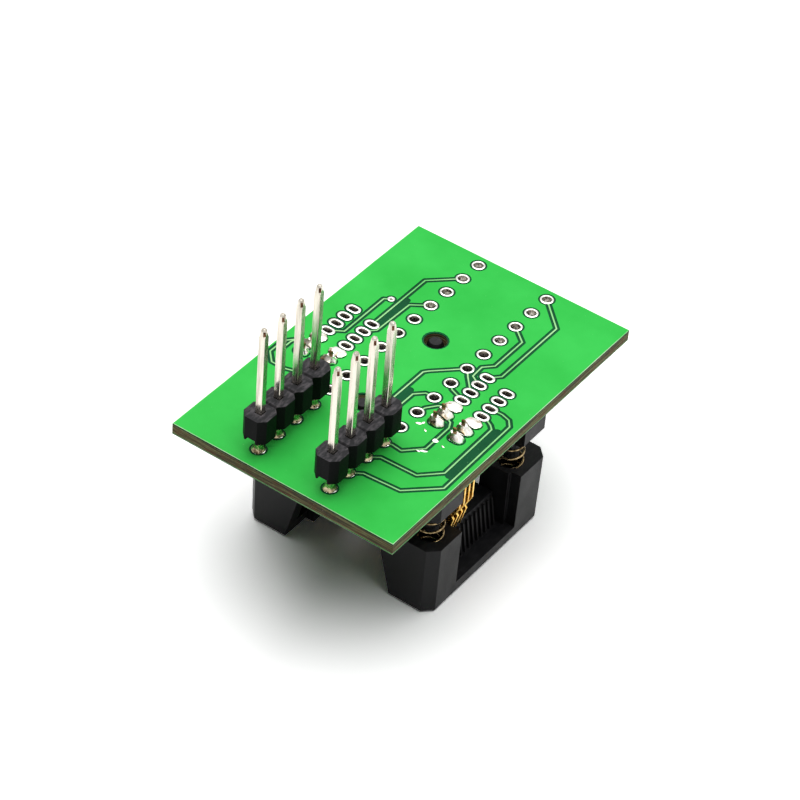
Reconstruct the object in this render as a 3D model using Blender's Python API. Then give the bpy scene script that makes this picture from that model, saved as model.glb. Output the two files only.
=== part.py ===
"""Adapter board that lets a two-row programmer socket take a small surface-mount chip.

The board lies solder side up. An open-top test socket hangs under it and stands on its own press
cover, and two rows of header pins point up. Units are metres and +Z is up. The origin is on the
table, under the middle of the board.
"""
import itertools
import math

import bmesh
import bpy

MM = 0.001

# Circuit board, whose edges keep clear of the outermost holes
BOARD_THICKNESS = 1.2 * MM
BOARD_FRONT_MARGIN = 2.125 * MM
BOARD_BACK_MARGIN = 1.255 * MM
BOARD_LEFT_MARGIN = 2.68 * MM
BOARD_RIGHT_MARGIN = 3.52 * MM

# Header holes, in two rows along the board
PIN_PITCH = 2.54 * MM
ROW_SPACING = 7.62 * MM
HOLES_A_ROW = 14
PIN_HOLE_GAP = 0.03 * MM
GRID_PAD_RIM = 0.16 * MM
PAD_THICKNESS = 0.06 * MM

# Header strips and their pins
HEADER_PINS = 4
HOUSING_WIDTH = 2.5 * MM
HOUSING_HEIGHT = 2.55 * MM
HOUSING_STANDOFF = 1.7 * MM
HOUSING_CHAMFER = 0.6 * MM
HOUSING_CHANNEL_WIDTH = 1.0 * MM
HOUSING_CHANNEL_DEPTH = 0.35 * MM
PIN_SIZE = 0.64 * MM
PIN_ABOVE_HOUSING = 9.15 * MM
PIN_BELOW_BOARD = 0.5 * MM
PIN_POINT_LENGTH = 0.45 * MM
PIN_POINT_SIZE = 0.3 * MM
FILLET_HEIGHT = 0.75 * MM

# Place of the socket under the board, from the middle of the pin grid
SOCKET_OFFSET_X = -0.2 * MM
SOCKET_OFFSET_Y = -0.3 * MM

# Contact positions, staggered in an inner and an outer row on each side
CONTACT_PITCH = 0.65 * MM
CONTACT_POSITIONS = 14
FITTED_CONTACTS = 4
SOLDERED_PADS = 6
INNER_TAIL_X = 6.1 * MM
OUTER_TAIL_X = 8.65 * MM
TAIL_HOLE_LENGTH = 1.0 * MM
TAIL_HOLE_WIDTH = 0.66 * MM
TAIL_PAD_LENGTH = 1.45 * MM
TAIL_PAD_WIDTH = 1.0 * MM
SOLDER_DOME_HEIGHT = 0.5 * MM
SOLDER_WAIST_SHARE = 0.72
SOLDER_PLUG_HEIGHT = 0.3 * MM
VIA_X = -7.08 * MM
VIA_Y = 7.29 * MM
VIA_DIAMETER = 0.3 * MM

# Clearances: between fixed pieces, and round pieces that slide
FIXED_GAP = 0.04 * MM
SLIDING_GAP = 0.06 * MM

# Press cover, which the adapter stands on
COVER_HEIGHT = 7.6 * MM
COVER_DRAFT = 0.08 * MM
COVER_EDGE = 0.25 * MM
COVER_CORNER = 0.95 * MM
COVER_FLOOR = 1.35 * MM
COVER_SIDE_WALL = 0.88 * MM
COVER_TRAVEL = 2.5 * MM
COVER_STOP_GAP = 0.8 * MM
WINDOW_SIDE_MARGIN = 0.8 * MM
WINDOW_END_MARGIN = 1.075 * MM
NOTCH_WIDTH = 11.8 * MM
NOTCH_TOP_WIDTH = 9.1 * MM
NOTCH_HEIGHT = 5.2 * MM
SIDE_OPENING_BACK_MARGIN = 0.4 * MM
POST_WALL = 0.64 * MM
CAM_CLEARANCE = 0.27 * MM
CAM_SLOPE_RUN = 0.55 * MM
CAM_SETBACK = 0.3 * MM
CAM_HEIGHT = 3.45 * MM
RIB_THICKNESS = 0.22 * MM
RIB_DEPTH = 0.32 * MM

# Latch legs that hold the cover on the base
LATCH_WIDTH = 4.0 * MM
LATCH_THICKNESS = 0.7 * MM
LATCH_ROOT = 1.0 * MM
LATCH_REACH = 2.5 * MM
BARB_DEPTH = 0.32 * MM
BARB_HEIGHT = 0.8 * MM
LEDGE_GAP = 0.1 * MM
LATCH_HEADROOM = 0.24 * MM
LATCH_SETBACK = 0.1 * MM

# Socket base
BASE_ROOF = 1.15 * MM
BASE_CORE_SETBACK = 1.78 * MM
BASE_OPENING_MARGIN = 0.325 * MM
BASE_EDGE = 0.35 * MM
SEAT_WIDTH = 8.4 * MM
SEAT_END_MARGIN = 1.375 * MM
SEAT_HEIGHT = 2.6 * MM
SEAT_CORNER = 0.45 * MM
SEAT_POCKET_DEPTH = 0.5 * MM
SEAT_POCKET_RIM = 0.5 * MM
COMB_WALL = 0.15 * MM
COMB_CLEARANCE = 0.3 * MM
COMB_HEIGHT = 1.1 * MM
PEG_X = -0.4 * MM
PEG_Y = 5.465 * MM
PEG_DIAMETER = 1.6 * MM
PEG_HOLE_DIAMETER = 2.2 * MM
PEG_RECESS = 0.05 * MM

# Coil springs between base and cover, and the walls round their pockets
SPRING_SIDE_WALL = 0.74 * MM
SPRING_INNER_WALL = 0.515 * MM
COVER_FRONT_WALL = 0.94 * MM
COVER_BACK_WALL = 1.74 * MM
BASE_END_WALL = 0.54 * MM
SPRING_DIAMETER = 2.5 * MM
SPRING_WIRE = 0.3 * MM
SPRING_PITCH = 1.0 * MM
SPRING_POCKET_DEPTH = 2.0 * MM
SPRING_GUIDE_DIAMETER = 1.5 * MM
SPRING_GUIDE_END_GAP = 0.1 * MM

# Stamped contacts
CONTACT_THICKNESS = 0.2 * MM
CONTACT_STRIP = 0.3 * MM
CONTACT_SLOT_GAP = 0.05 * MM
TAIL_WIDTH = 0.36 * MM
TAIL_INSET = 0.22 * MM
TAIL_ABOVE_BOARD = 1.2 * MM
STEM_SHIFT = 0.98 * MM
STEM_DROP = 1.05 * MM
SHOULDER_INSET = 0.46 * MM
SHOULDER_DROP = 2.6 * MM
SHOULDER_CLEARANCE = 0.1 * MM
NECK = 0.18 * MM
LEVER_DROP = 4.8 * MM
LEVER_INSET = 0.55 * MM
ARM_RISE = 0.5 * MM
TIP_X = 3.05 * MM
TIP_LEAD_GAP = 0.12 * MM

# Facets of round shapes, and the sharpest edge that is shaded smooth
HOLE_SIDES = 10
LATHE_SIDES = 12
SPRING_TURN_STEPS = 10
SPRING_WIRE_SIDES = 4
SMOOTH_ANGLE = math.radians(50)

# Levels, worked out from the table up
BASE_BOTTOM = COVER_HEIGHT + COVER_TRAVEL + COVER_STOP_GAP
BASE_TOP = BASE_BOTTOM + LATCH_REACH + COVER_TRAVEL + LATCH_HEADROOM
BOARD_BOTTOM = BASE_TOP + FIXED_GAP
BOARD_TOP = BOARD_BOTTOM + BOARD_THICKNESS
HOUSING_BOTTOM = BOARD_TOP + HOUSING_STANDOFF
HOUSING_TOP = HOUSING_BOTTOM + HOUSING_HEIGHT
SEAT_FACE = BASE_BOTTOM - SEAT_HEIGHT
ROOF_BOTTOM = BASE_TOP - BASE_ROOF

# Places in the plan
BOARD_WIDTH = 2 * OUTER_TAIL_X + BOARD_LEFT_MARGIN + BOARD_RIGHT_MARGIN
BOARD_LENGTH = (HOLES_A_ROW - 1) * PIN_PITCH + BOARD_FRONT_MARGIN + BOARD_BACK_MARGIN
SOCKET_X = (BOARD_LEFT_MARGIN - BOARD_RIGHT_MARGIN) / 2
GRID_X = SOCKET_X - SOCKET_OFFSET_X
GRID_Y = (BOARD_FRONT_MARGIN - BOARD_BACK_MARGIN) / 2
SOCKET_Y = GRID_Y + SOCKET_OFFSET_Y
GRID_HOLE_DIAMETER = PIN_SIZE * math.sqrt(2) + 2 * PIN_HOLE_GAP
CONTACT_SPAN = (CONTACT_POSITIONS - 1) * CONTACT_PITCH
SLOT_WIDTH = CONTACT_THICKNESS + 2 * CONTACT_SLOT_GAP

# The room for the contacts, and what they press against
STEM_X = OUTER_TAIL_X + STEM_SHIFT
SHOULDER_X = STEM_X - SHOULDER_INSET
LEVER_X = SHOULDER_X - LEVER_INSET
CHAMBER_LENGTH = CONTACT_SPAN + SLOT_WIDTH + 2 * CONTACT_SLOT_GAP
CHAMBER_HALF_WIDTH = SHOULDER_X + CONTACT_STRIP / 2 + SHOULDER_CLEARANCE
CAM_TOP_X = LEVER_X - CONTACT_STRIP / 2 - CAM_CLEARANCE
CAM_FOOT_X = CAM_TOP_X + CAM_SLOPE_RUN

# The springs and the walls round them give the cover and the base their outlines
SPRING_POCKET_RADIUS = SPRING_DIAMETER / 2 + SLIDING_GAP
SPRING_Y = CHAMBER_LENGTH / 2 + SPRING_INNER_WALL + SPRING_POCKET_RADIUS
COVER_LENGTH = 2 * (SPRING_Y + SPRING_POCKET_RADIUS) + COVER_FRONT_WALL + COVER_BACK_WALL
COVER_SHIFT = (COVER_BACK_WALL - COVER_FRONT_WALL) / 2
COVER_WIDTH = 2 * (CHAMBER_HALF_WIDTH + COVER_SIDE_WALL)
SPRING_X = COVER_WIDTH / 2 - SPRING_SIDE_WALL - SPRING_POCKET_RADIUS
POST_INNER_X = SPRING_X - SPRING_POCKET_RADIUS - POST_WALL
BASE_WIDTH = COVER_WIDTH
BASE_LENGTH = 2 * (SPRING_Y + SPRING_POCKET_RADIUS + BASE_END_WALL)
BASE_CORE_X = STEM_X - CONTACT_STRIP / 2 - BASE_CORE_SETBACK
LATCH_OUTER_Y = BASE_LENGTH / 2 - LATCH_SETBACK - BARB_DEPTH
LATCH_INNER_Y = LATCH_OUTER_Y - LATCH_THICKNESS

# The chip's seat, and the window under it
COMB_INNER_X = TIP_X - CONTACT_STRIP / 2 - COMB_CLEARANCE
SEAT_LENGTH = CONTACT_SPAN + 2 * SEAT_END_MARGIN
SEAT_POCKET_WIDTH = 2 * (COMB_INNER_X - COMB_WALL)
SEAT_POCKET_LENGTH = SEAT_LENGTH - 2 * SEAT_POCKET_RIM
WINDOW_WIDTH = SEAT_WIDTH + 2 * WINDOW_SIDE_MARGIN
WINDOW_LENGTH = CONTACT_SPAN + 2 * WINDOW_END_MARGIN
CAM_INNER_X = WINDOW_WIDTH / 2 + CAM_SETBACK
SIDE_OPENING_FRONT = -CHAMBER_LENGTH / 2
SIDE_OPENING_BACK = CHAMBER_LENGTH / 2 + SIDE_OPENING_BACK_MARGIN

# How far a cutter runs past the face that it opens, and how far it laps into room already open
PAST = 0.5 * MM
LAP = 0.1 * MM

# How deep a joined piece sinks into its carrier
ROOT = 0.04 * MM

SIDES = {"left": -1, "right": 1}
ENDS = {"front": -1, "back": 1}


def remove_all_objects():
    """Starts from an empty scene."""
    for scene_object in list(bpy.data.objects):
        bpy.data.objects.remove(scene_object, do_unlink=True)


def make_material(name, colour, roughness, metallic=0.0):
    """A plain surface of one colour."""
    material = bpy.data.materials.new(name)
    material.use_nodes = True
    shader = material.node_tree.nodes["Principled BSDF"]
    shader.inputs["Base Color"].default_value = (*colour, 1.0)
    shader.inputs["Roughness"].default_value = roughness
    shader.inputs["Metallic"].default_value = metallic
    return material


def make_materials():
    """The finishes that the sub-parts share, by name."""
    return {
        "board": make_material("board", (0.06, 0.62, 0.12), 0.35),
        "solder": make_material("solder", (0.78, 0.75, 0.68), 0.25, 1.0),
        "header_plastic": make_material("header_plastic", (0.02, 0.02, 0.022), 0.5),
        "header_pin": make_material("header_pin", (0.87, 0.83, 0.75), 0.25, 1.0),
        "socket_plastic": make_material("socket_plastic", (0.015, 0.015, 0.016), 0.4),
        "spring_steel": make_material("spring_steel", (0.62, 0.60, 0.55), 0.3, 1.0),
        "contact_gold": make_material("contact_gold", (0.95, 0.62, 0.18), 0.25, 1.0),
    }


def link_mesh(name, shape, material):
    """Turns a bmesh into a named object with its faces pointing out."""
    bmesh.ops.recalc_face_normals(shape, faces=shape.faces)
    mesh = bpy.data.meshes.new(name)
    shape.to_mesh(mesh)
    shape.free()
    scene_object = bpy.data.objects.new(name, mesh)
    bpy.context.scene.collection.objects.link(scene_object)
    if material is not None:
        mesh.materials.append(material)
    return scene_object


def place_at_socket(scene_object):
    """Puts an object that is modelled about the socket's middle in its place."""
    scene_object.location = (SOCKET_X, SOCKET_Y, 0)
    return scene_object


def shade_round(scene_object):
    """Shades a round piece smooth, apart from its real edges."""
    scene_object.data.shade_smooth()
    scene_object.data.set_sharp_from_angle(angle=SMOOTH_ANGLE)


def add_loft(shape, outlines):
    """Adds a closed solid through outlines of equal point count, lists of points in space."""
    rings = [[shape.verts.new(point) for point in outline] for outline in outlines]
    for lower, upper in zip(rings, rings[1:]):
        for index in range(len(lower)):
            following = (index + 1) % len(lower)
            shape.faces.new((lower[index], lower[following], upper[following], upper[index]))
    shape.faces.new(list(reversed(rings[0])))
    shape.faces.new(rings[-1])


def at_height(outline, height):
    """Lifts a plan outline to a height."""
    return [(x, y, height) for x, y in outline]


def along_y(profile, y):
    """Stands an (x, z) profile up at one place along the length."""
    return [(x, y, z) for x, z in profile]


def along_x(profile, x):
    """Stands a (y, z) profile up at one place across the width."""
    return [(x, y, z) for y, z in profile]


def rectangle(centre_x, centre_y, width, length):
    """Plan outline of a box."""
    half_width = width / 2
    half_length = length / 2
    return [
        (centre_x - half_width, centre_y - half_length),
        (centre_x + half_width, centre_y - half_length),
        (centre_x + half_width, centre_y + half_length),
        (centre_x - half_width, centre_y + half_length),
    ]


def chamfered_rectangle(centre_y, width, length, chamfer):
    """Plan outline of a box whose four corners are cut off."""
    half_width = width / 2
    front = centre_y - length / 2
    back = centre_y + length / 2
    return [
        (-half_width + chamfer, front),
        (half_width - chamfer, front),
        (half_width, front + chamfer),
        (half_width, back - chamfer),
        (half_width - chamfer, back),
        (-half_width + chamfer, back),
        (-half_width, back - chamfer),
        (-half_width, front + chamfer),
    ]


def ellipse(centre_x, centre_y, width, length, sides):
    """Plan outline of a circle or an oval."""
    return [
        (
            centre_x + width / 2 * math.cos(2 * math.pi * step / sides),
            centre_y + length / 2 * math.sin(2 * math.pi * step / sides),
        )
        for step in range(sides)
    ]


def add_prism(shape, outline, bottom, top):
    """Adds an upright solid on a plan outline."""
    add_loft(shape, [at_height(outline, bottom), at_height(outline, top)])


def add_box(shape, low, high):
    """Adds a box between two corners."""
    outline = [(low[0], low[1]), (high[0], low[1]), (high[0], high[1]), (low[0], high[1])]
    add_prism(shape, outline, low[2], high[2])


def add_tube(shape, rings):
    """Adds a ring-shaped solid from closed loops that surround it, the last joined to the first."""
    loops = [[shape.verts.new(point) for point in ring] for ring in rings]
    for index, loop in enumerate(loops):
        following_loop = loops[(index + 1) % len(loops)]
        for corner in range(len(loop)):
            following = (corner + 1) % len(loop)
            outer = (following_loop[following], following_loop[corner])
            shape.faces.new((loop[corner], loop[following], *outer))


def combine(target, name, shape, operation):
    """Cuts a hidden helper solid out of an object, or joins it on."""
    helper = link_mesh(name, shape, None)
    helper.location = target.location
    helper.hide_render = True
    helper.display_type = "WIRE"
    modifier = target.modifiers.new(name, "BOOLEAN")
    modifier.operation = operation
    modifier.object = helper
    return helper


def cut(target, name, shape):
    """Takes a helper solid out of an object."""
    return combine(target, name, shape, "DIFFERENCE")


def join(target, name, shape):
    """Makes a helper solid part of an object."""
    return combine(target, name, shape, "UNION")


def grid_place(side, index):
    """Plan place of a header hole: side -1 or 1, index from the front."""
    x = GRID_X + side * ROW_SPACING / 2
    y = GRID_Y + (index - (HOLES_A_ROW - 1) / 2) * PIN_PITCH
    return x, y


def contact_y(index):
    """Place along the socket of a contact position, counted from the back."""
    return ((CONTACT_POSITIONS - 1) / 2 - index) * CONTACT_PITCH


def tail_x(side, index):
    """Distance from the socket's middle to a contact's tail, whose rows are staggered."""
    is_inner = (index % 2 == 0) == (side > 0)
    return INNER_TAIL_X if is_inner else OUTER_TAIL_X


def tail_place(side, index):
    """Plan place of a contact's tail hole on the board."""
    return SOCKET_X + side * tail_x(side, index), SOCKET_Y + contact_y(index)


def is_fitted(index):
    """Only the front positions hold a contact."""
    return index >= CONTACT_POSITIONS - FITTED_CONTACTS


def is_soldered(index):
    """Solder lies on the fitted positions and on the next ones behind them."""
    return index >= CONTACT_POSITIONS - SOLDERED_PADS


def add_pads(board):
    """Raises the plated pads round the holes that hold nothing, which are one with the board."""
    pads = bmesh.new()
    low = BOARD_TOP - PAD_THICKNESS
    high = BOARD_TOP + PAD_THICKNESS
    grid_size = GRID_HOLE_DIAMETER + 2 * GRID_PAD_RIM
    for side in SIDES.values():
        for index in range(HEADER_PINS, HOLES_A_ROW):
            outline = ellipse(*grid_place(side, index), grid_size, grid_size, HOLE_SIDES)
            add_prism(pads, outline, low, high)
        for index in itertools.filterfalse(is_soldered, range(CONTACT_POSITIONS)):
            outline = ellipse(*tail_place(side, index), TAIL_PAD_LENGTH, TAIL_PAD_WIDTH, HOLE_SIDES)
            add_prism(pads, outline, low, high)
    join(board, "board_pads", pads)


def drill_board(board):
    """Drills every hole through the board and its pads."""
    holes = bmesh.new()
    places = []
    for side in SIDES.values():
        for index in range(HOLES_A_ROW):
            places.append((*grid_place(side, index), GRID_HOLE_DIAMETER, GRID_HOLE_DIAMETER))
        for index in range(CONTACT_POSITIONS):
            places.append((*tail_place(side, index), TAIL_HOLE_LENGTH, TAIL_HOLE_WIDTH))
    for end in ENDS.values():
        places.append((SOCKET_X + PEG_X, SOCKET_Y + end * PEG_Y, PEG_HOLE_DIAMETER, PEG_HOLE_DIAMETER))
    places.append((GRID_X + VIA_X, GRID_Y + VIA_Y, VIA_DIAMETER, VIA_DIAMETER))
    for place in places:
        add_prism(holes, ellipse(*place, HOLE_SIDES), BOARD_BOTTOM - PAST, BOARD_TOP + PAST)
    cut(board, "board_holes", holes)


def make_board(materials):
    """The circuit board with its pads and every hole that is drilled in it."""
    shape = bmesh.new()
    add_prism(shape, rectangle(0, 0, BOARD_WIDTH, BOARD_LENGTH), BOARD_BOTTOM, BOARD_TOP)
    board = link_mesh("circuit_board", shape, materials["board"])
    add_pads(board)
    drill_board(board)


def housing_outline(side):
    """Plan of a header strip: one block a pin, with a groove between neighbours."""
    x = grid_place(side, 0)[0]
    half_width = HOUSING_WIDTH / 2
    half_pitch = PIN_PITCH / 2
    right = []
    for index in range(HEADER_PINS):
        y = grid_place(side, index)[1]
        right.append((x + half_width - HOUSING_CHAMFER, y - half_pitch))
        right.append((x + half_width, y - half_pitch + HOUSING_CHAMFER))
        right.append((x + half_width, y + half_pitch - HOUSING_CHAMFER))
    last_y = grid_place(side, HEADER_PINS - 1)[1]
    right.append((x + half_width - HOUSING_CHAMFER, last_y + half_pitch))
    left = [(2 * x - point_x, point_y) for point_x, point_y in reversed(right)]
    return right + left


def make_header(side_name, materials):
    """One header strip: its plastic housing and its square pins."""
    side = SIDES[side_name]
    shape = bmesh.new()
    add_prism(shape, housing_outline(side), HOUSING_BOTTOM, HOUSING_TOP)
    housing = link_mesh(f"header_housing_{side_name}", shape, materials["header_plastic"])
    row_x = grid_place(side, 0)[0]
    channel = bmesh.new()
    first_y = grid_place(side, 0)[1] - PIN_PITCH
    last_y = grid_place(side, HEADER_PINS - 1)[1] + PIN_PITCH
    half_channel = HOUSING_CHANNEL_WIDTH / 2
    add_box(
        channel,
        (row_x - half_channel, first_y, HOUSING_BOTTOM - PAST),
        (row_x + half_channel, last_y, HOUSING_BOTTOM + HOUSING_CHANNEL_DEPTH),
    )
    cut(housing, f"header_channel_{side_name}", channel)
    holes = bmesh.new()
    hole_size = PIN_SIZE + 2 * FIXED_GAP
    for index in range(HEADER_PINS):
        outline = rectangle(*grid_place(side, index), hole_size, hole_size)
        add_prism(holes, outline, HOUSING_BOTTOM - PAST, HOUSING_TOP + PAST)
    cut(housing, f"header_pin_holes_{side_name}", holes)
    for index in range(HEADER_PINS):
        make_pin(f"header_pin_{side_name}_{index + 1}", *grid_place(side, index), materials)


def make_pin(name, x, y, materials):
    """A square pin with a pointed top and a short tail under the board."""
    top = HOUSING_TOP + PIN_ABOVE_HOUSING
    bottom = BOARD_BOTTOM - PIN_BELOW_BOARD
    body = rectangle(x, y, PIN_SIZE, PIN_SIZE)
    point = rectangle(x, y, PIN_POINT_SIZE, PIN_POINT_SIZE)
    shape = bmesh.new()
    add_loft(
        shape,
        [
            at_height(point, bottom),
            at_height(body, bottom + PIN_POINT_LENGTH / 2),
            at_height(body, top - PIN_POINT_LENGTH),
            at_height(point, top),
        ],
    )
    link_mesh(name, shape, materials["header_pin"])


def make_lathe(name, x, y, levels, sides, material):
    """A ring-shaped solid from (middle, width, length, height) loops round its section."""
    shape = bmesh.new()
    loops = []
    for middle, width, length, height in levels:
        loops.append(at_height(ellipse(middle, 0, width, length, sides), height))
    add_tube(shape, loops)
    scene_object = link_mesh(name, shape, material)
    scene_object.location = (x, y, BOARD_TOP + FIXED_GAP / 2)
    shade_round(scene_object)


def make_pin_solder(materials):
    """A cone of solder round each header pin, on the board's upper side."""
    hole = PIN_SIZE * math.sqrt(2) + 2 * FIXED_GAP
    foot = GRID_HOLE_DIAMETER + 2 * GRID_PAD_RIM
    neck = hole + 2 * FIXED_GAP
    levels = [
        (0, hole, hole, 0),
        (0, foot, foot, 0),
        (0, foot, foot, PAD_THICKNESS),
        (0, neck, neck, FILLET_HEIGHT),
        (0, hole, hole, FILLET_HEIGHT),
    ]
    for side_name, side in SIDES.items():
        for index in range(HEADER_PINS):
            name = f"header_solder_{side_name}_{index + 1}"
            make_lathe(name, *grid_place(side, index), levels, LATHE_SIDES, materials["solder"])


def make_solder_plugs(materials):
    """A low dome of solder on each pad that is filled but holds no contact."""
    top_length = TAIL_PAD_LENGTH * SOLDER_WAIST_SHARE
    top_width = TAIL_PAD_WIDTH * SOLDER_WAIST_SHARE
    foot = at_height(ellipse(0, 0, TAIL_PAD_LENGTH, TAIL_PAD_WIDTH, HOLE_SIDES), 0)
    top = at_height(ellipse(0, 0, top_length, top_width, HOLE_SIDES), SOLDER_PLUG_HEIGHT)
    for side_name, side in SIDES.items():
        for index in range(CONTACT_POSITIONS - SOLDERED_PADS, CONTACT_POSITIONS - FITTED_CONTACTS):
            shape = bmesh.new()
            add_loft(shape, [foot, top])
            name = f"contact_solder_{side_name}_{CONTACT_POSITIONS - index}"
            plug = link_mesh(name, shape, materials["solder"])
            plug.location = (*tail_place(side, index), BOARD_TOP + FIXED_GAP / 2)
            shade_round(plug)


def make_contact_solder(materials):
    """A dome of solder round each contact's tail, on the board's upper side."""
    hole = math.hypot(TAIL_WIDTH, CONTACT_THICKNESS) + 2 * FIXED_GAP
    waist_length = TAIL_PAD_LENGTH * SOLDER_WAIST_SHARE
    waist_width = TAIL_PAD_WIDTH * SOLDER_WAIST_SHARE
    for side_name, side in SIDES.items():
        tail = -side * TAIL_INSET
        levels = [
            (tail, hole, hole, 0),
            (0, TAIL_PAD_LENGTH, TAIL_PAD_WIDTH, 0),
            (0, waist_length, waist_width, SOLDER_DOME_HEIGHT / 2),
            (tail, hole, hole, SOLDER_DOME_HEIGHT),
        ]
        for index in filter(is_fitted, range(CONTACT_POSITIONS)):
            name = f"contact_solder_{side_name}_{CONTACT_POSITIONS - index}"
            make_lathe(name, *tail_place(side, index), levels, HOLE_SIDES, materials["solder"])


def add_cam(shape, side):
    """Adds the sloping bar with comb ribs that the contacts' levers bear on."""
    foot = COVER_FLOOR - ROOT
    top = COVER_FLOOR + CAM_HEIGHT
    half_length = CHAMBER_LENGTH / 2 - 2 * SLIDING_GAP
    ramp_foot_x = CAM_FOOT_X - RIB_DEPTH
    ramp_top_x = CAM_TOP_X - RIB_DEPTH
    bar = [
        (side * CAM_INNER_X, foot),
        (side * ramp_foot_x, foot),
        (side * ramp_top_x, top),
        (side * CAM_INNER_X, top),
    ]
    add_loft(shape, [along_y(bar, -half_length), along_y(bar, half_length)])


def add_rib(shape, side, y):
    """Adds one comb rib on the outside of a cam bar."""
    foot = COVER_FLOOR - ROOT
    top = COVER_FLOOR + CAM_HEIGHT - RIB_DEPTH
    root = RIB_DEPTH + ROOT
    rib = [
        (side * (CAM_FOOT_X - root), foot),
        (side * CAM_FOOT_X, foot),
        (side * CAM_TOP_X, top),
        (side * (CAM_TOP_X - root), top),
    ]
    half = RIB_THICKNESS / 2
    add_loft(shape, [along_y(rib, y - half), along_y(rib, y + half)])


def add_latch_leg(shape, end):
    """Adds one leg of the cover, with the barb that hooks behind the base's ledge."""
    foot = COVER_HEIGHT - LATCH_ROOT
    top = BASE_BOTTOM + LATCH_REACH
    barb_bottom = top - BARB_HEIGHT
    outer = LATCH_OUTER_Y
    leg = [
        (end * LATCH_INNER_Y, foot),
        (end * outer, foot),
        (end * outer, barb_bottom),
        (end * (outer + BARB_DEPTH), barb_bottom),
        (end * (outer + BARB_DEPTH / 2), top),
        (end * LATCH_INNER_Y, top),
    ]
    half = LATCH_WIDTH / 2
    add_loft(shape, [along_x(leg, -half), along_x(leg, half)])


def make_cover_block(materials):
    """The cover's outer form, with a little draft and a broken lower edge."""
    shape = bmesh.new()
    levels = []
    for growth, height in ((-COVER_EDGE, 0), (0, COVER_EDGE), (COVER_DRAFT, COVER_HEIGHT)):
        width = COVER_WIDTH + 2 * growth
        length = COVER_LENGTH + 2 * growth
        levels.append(at_height(chamfered_rectangle(COVER_SHIFT, width, length, COVER_CORNER), height))
    add_loft(shape, levels)
    return place_at_socket(link_mesh("socket_cover", shape, materials["socket_plastic"]))


def hollow_cover(cover):
    """Clears the cover's middle and the room that the contacts move in."""
    above = COVER_HEIGHT + PAST
    inner_y = LATCH_INNER_Y + LAP
    middle = bmesh.new()
    add_box(middle, (-POST_INNER_X, -inner_y, COVER_FLOOR), (POST_INNER_X, inner_y, above))
    cut(cover, "cover_middle", middle)
    chamber = bmesh.new()
    half_width = CHAMBER_HALF_WIDTH
    half_length = CHAMBER_LENGTH / 2
    add_box(chamber, (-half_width, -half_length, COVER_FLOOR), (half_width, half_length, above))
    cut(cover, "cover_contact_chamber", chamber)


def cut_cover_openings(cover):
    """Opens the cover's long sides, and its floor for the chip."""
    openings = bmesh.new()
    above = COVER_HEIGHT + PAST
    for side in SIDES.values():
        low_x, high_x = sorted((side * (CHAMBER_HALF_WIDTH - LAP), side * (COVER_WIDTH / 2 + PAST)))
        add_box(openings, (low_x, SIDE_OPENING_FRONT, COVER_FLOOR), (high_x, SIDE_OPENING_BACK, above))
    cut(cover, "cover_side_openings", openings)
    window = bmesh.new()
    half_width = WINDOW_WIDTH / 2
    half_length = WINDOW_LENGTH / 2
    add_box(window, (-half_width, -half_length, -PAST), (half_width, half_length, COVER_FLOOR + PAST))
    cut(cover, "cover_window", window)


def cut_cover_notches(cover):
    """Cuts the tapered finger notch in each end of the cover."""
    notches = bmesh.new()
    slope = (NOTCH_WIDTH - NOTCH_TOP_WIDTH) / 2 / NOTCH_HEIGHT
    half_foot = NOTCH_WIDTH / 2 + slope * PAST
    half_top = NOTCH_TOP_WIDTH / 2
    profile = [(-half_foot, -PAST), (half_foot, -PAST), (half_top, NOTCH_HEIGHT), (-half_top, NOTCH_HEIGHT)]
    start_y = WINDOW_LENGTH / 2 - LAP
    end_y = COVER_LENGTH / 2 + COVER_SHIFT + PAST
    for end in ENDS.values():
        add_loft(notches, [along_y(profile, end * start_y), along_y(profile, end * end_y)])
    cut(cover, "cover_end_notches", notches)


def cut_cover_pockets(cover):
    """Sinks a spring pocket in each of the cover's corner posts."""
    pockets = bmesh.new()
    diameter = 2 * SPRING_POCKET_RADIUS
    for x_side in SIDES.values():
        for y_side in ENDS.values():
            outline = ellipse(x_side * SPRING_X, y_side * SPRING_Y, diameter, diameter, LATHE_SIDES)
            add_prism(pockets, outline, COVER_HEIGHT - SPRING_POCKET_DEPTH, COVER_HEIGHT + PAST)
    cut(cover, "cover_spring_pockets", pockets)


def join_latch_legs(cover):
    """Stands the two latch legs on the cover's end walls."""
    legs = bmesh.new()
    for end in ENDS.values():
        add_latch_leg(legs, end)
    join(cover, "cover_latch_legs", legs)


def join_cams(cover):
    """Stands the cam bars on the cover's floor, then their ribs, one between each two contacts."""
    cams = bmesh.new()
    ribs = bmesh.new()
    for side in SIDES.values():
        add_cam(cams, side)
        for index in range(CONTACT_POSITIONS - 1):
            add_rib(ribs, side, contact_y(index) - CONTACT_PITCH / 2)
    join(cover, "cover_cams", cams)
    join(cover, "cover_ribs", ribs)


def make_cover(materials):
    """The press cover: four sprung posts, two press rails with cams, and a window for the chip."""
    cover = make_cover_block(materials)
    hollow_cover(cover)
    cut_cover_openings(cover)
    cut_cover_notches(cover)
    cut_cover_pockets(cover)
    join_latch_legs(cover)
    join_cams(cover)


def make_base_block(materials):
    """The base's outer form, with its lower long edges broken."""
    half = BASE_WIDTH / 2
    profile = [
        (-half + BASE_EDGE, BASE_BOTTOM),
        (half - BASE_EDGE, BASE_BOTTOM),
        (half, BASE_BOTTOM + BASE_EDGE),
        (half, BASE_TOP),
        (-half, BASE_TOP),
        (-half, BASE_BOTTOM + BASE_EDGE),
    ]
    shape = bmesh.new()
    add_loft(shape, [along_y(profile, -BASE_LENGTH / 2), along_y(profile, BASE_LENGTH / 2)])
    return place_at_socket(link_mesh("socket_base", shape, materials["socket_plastic"]))


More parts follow.
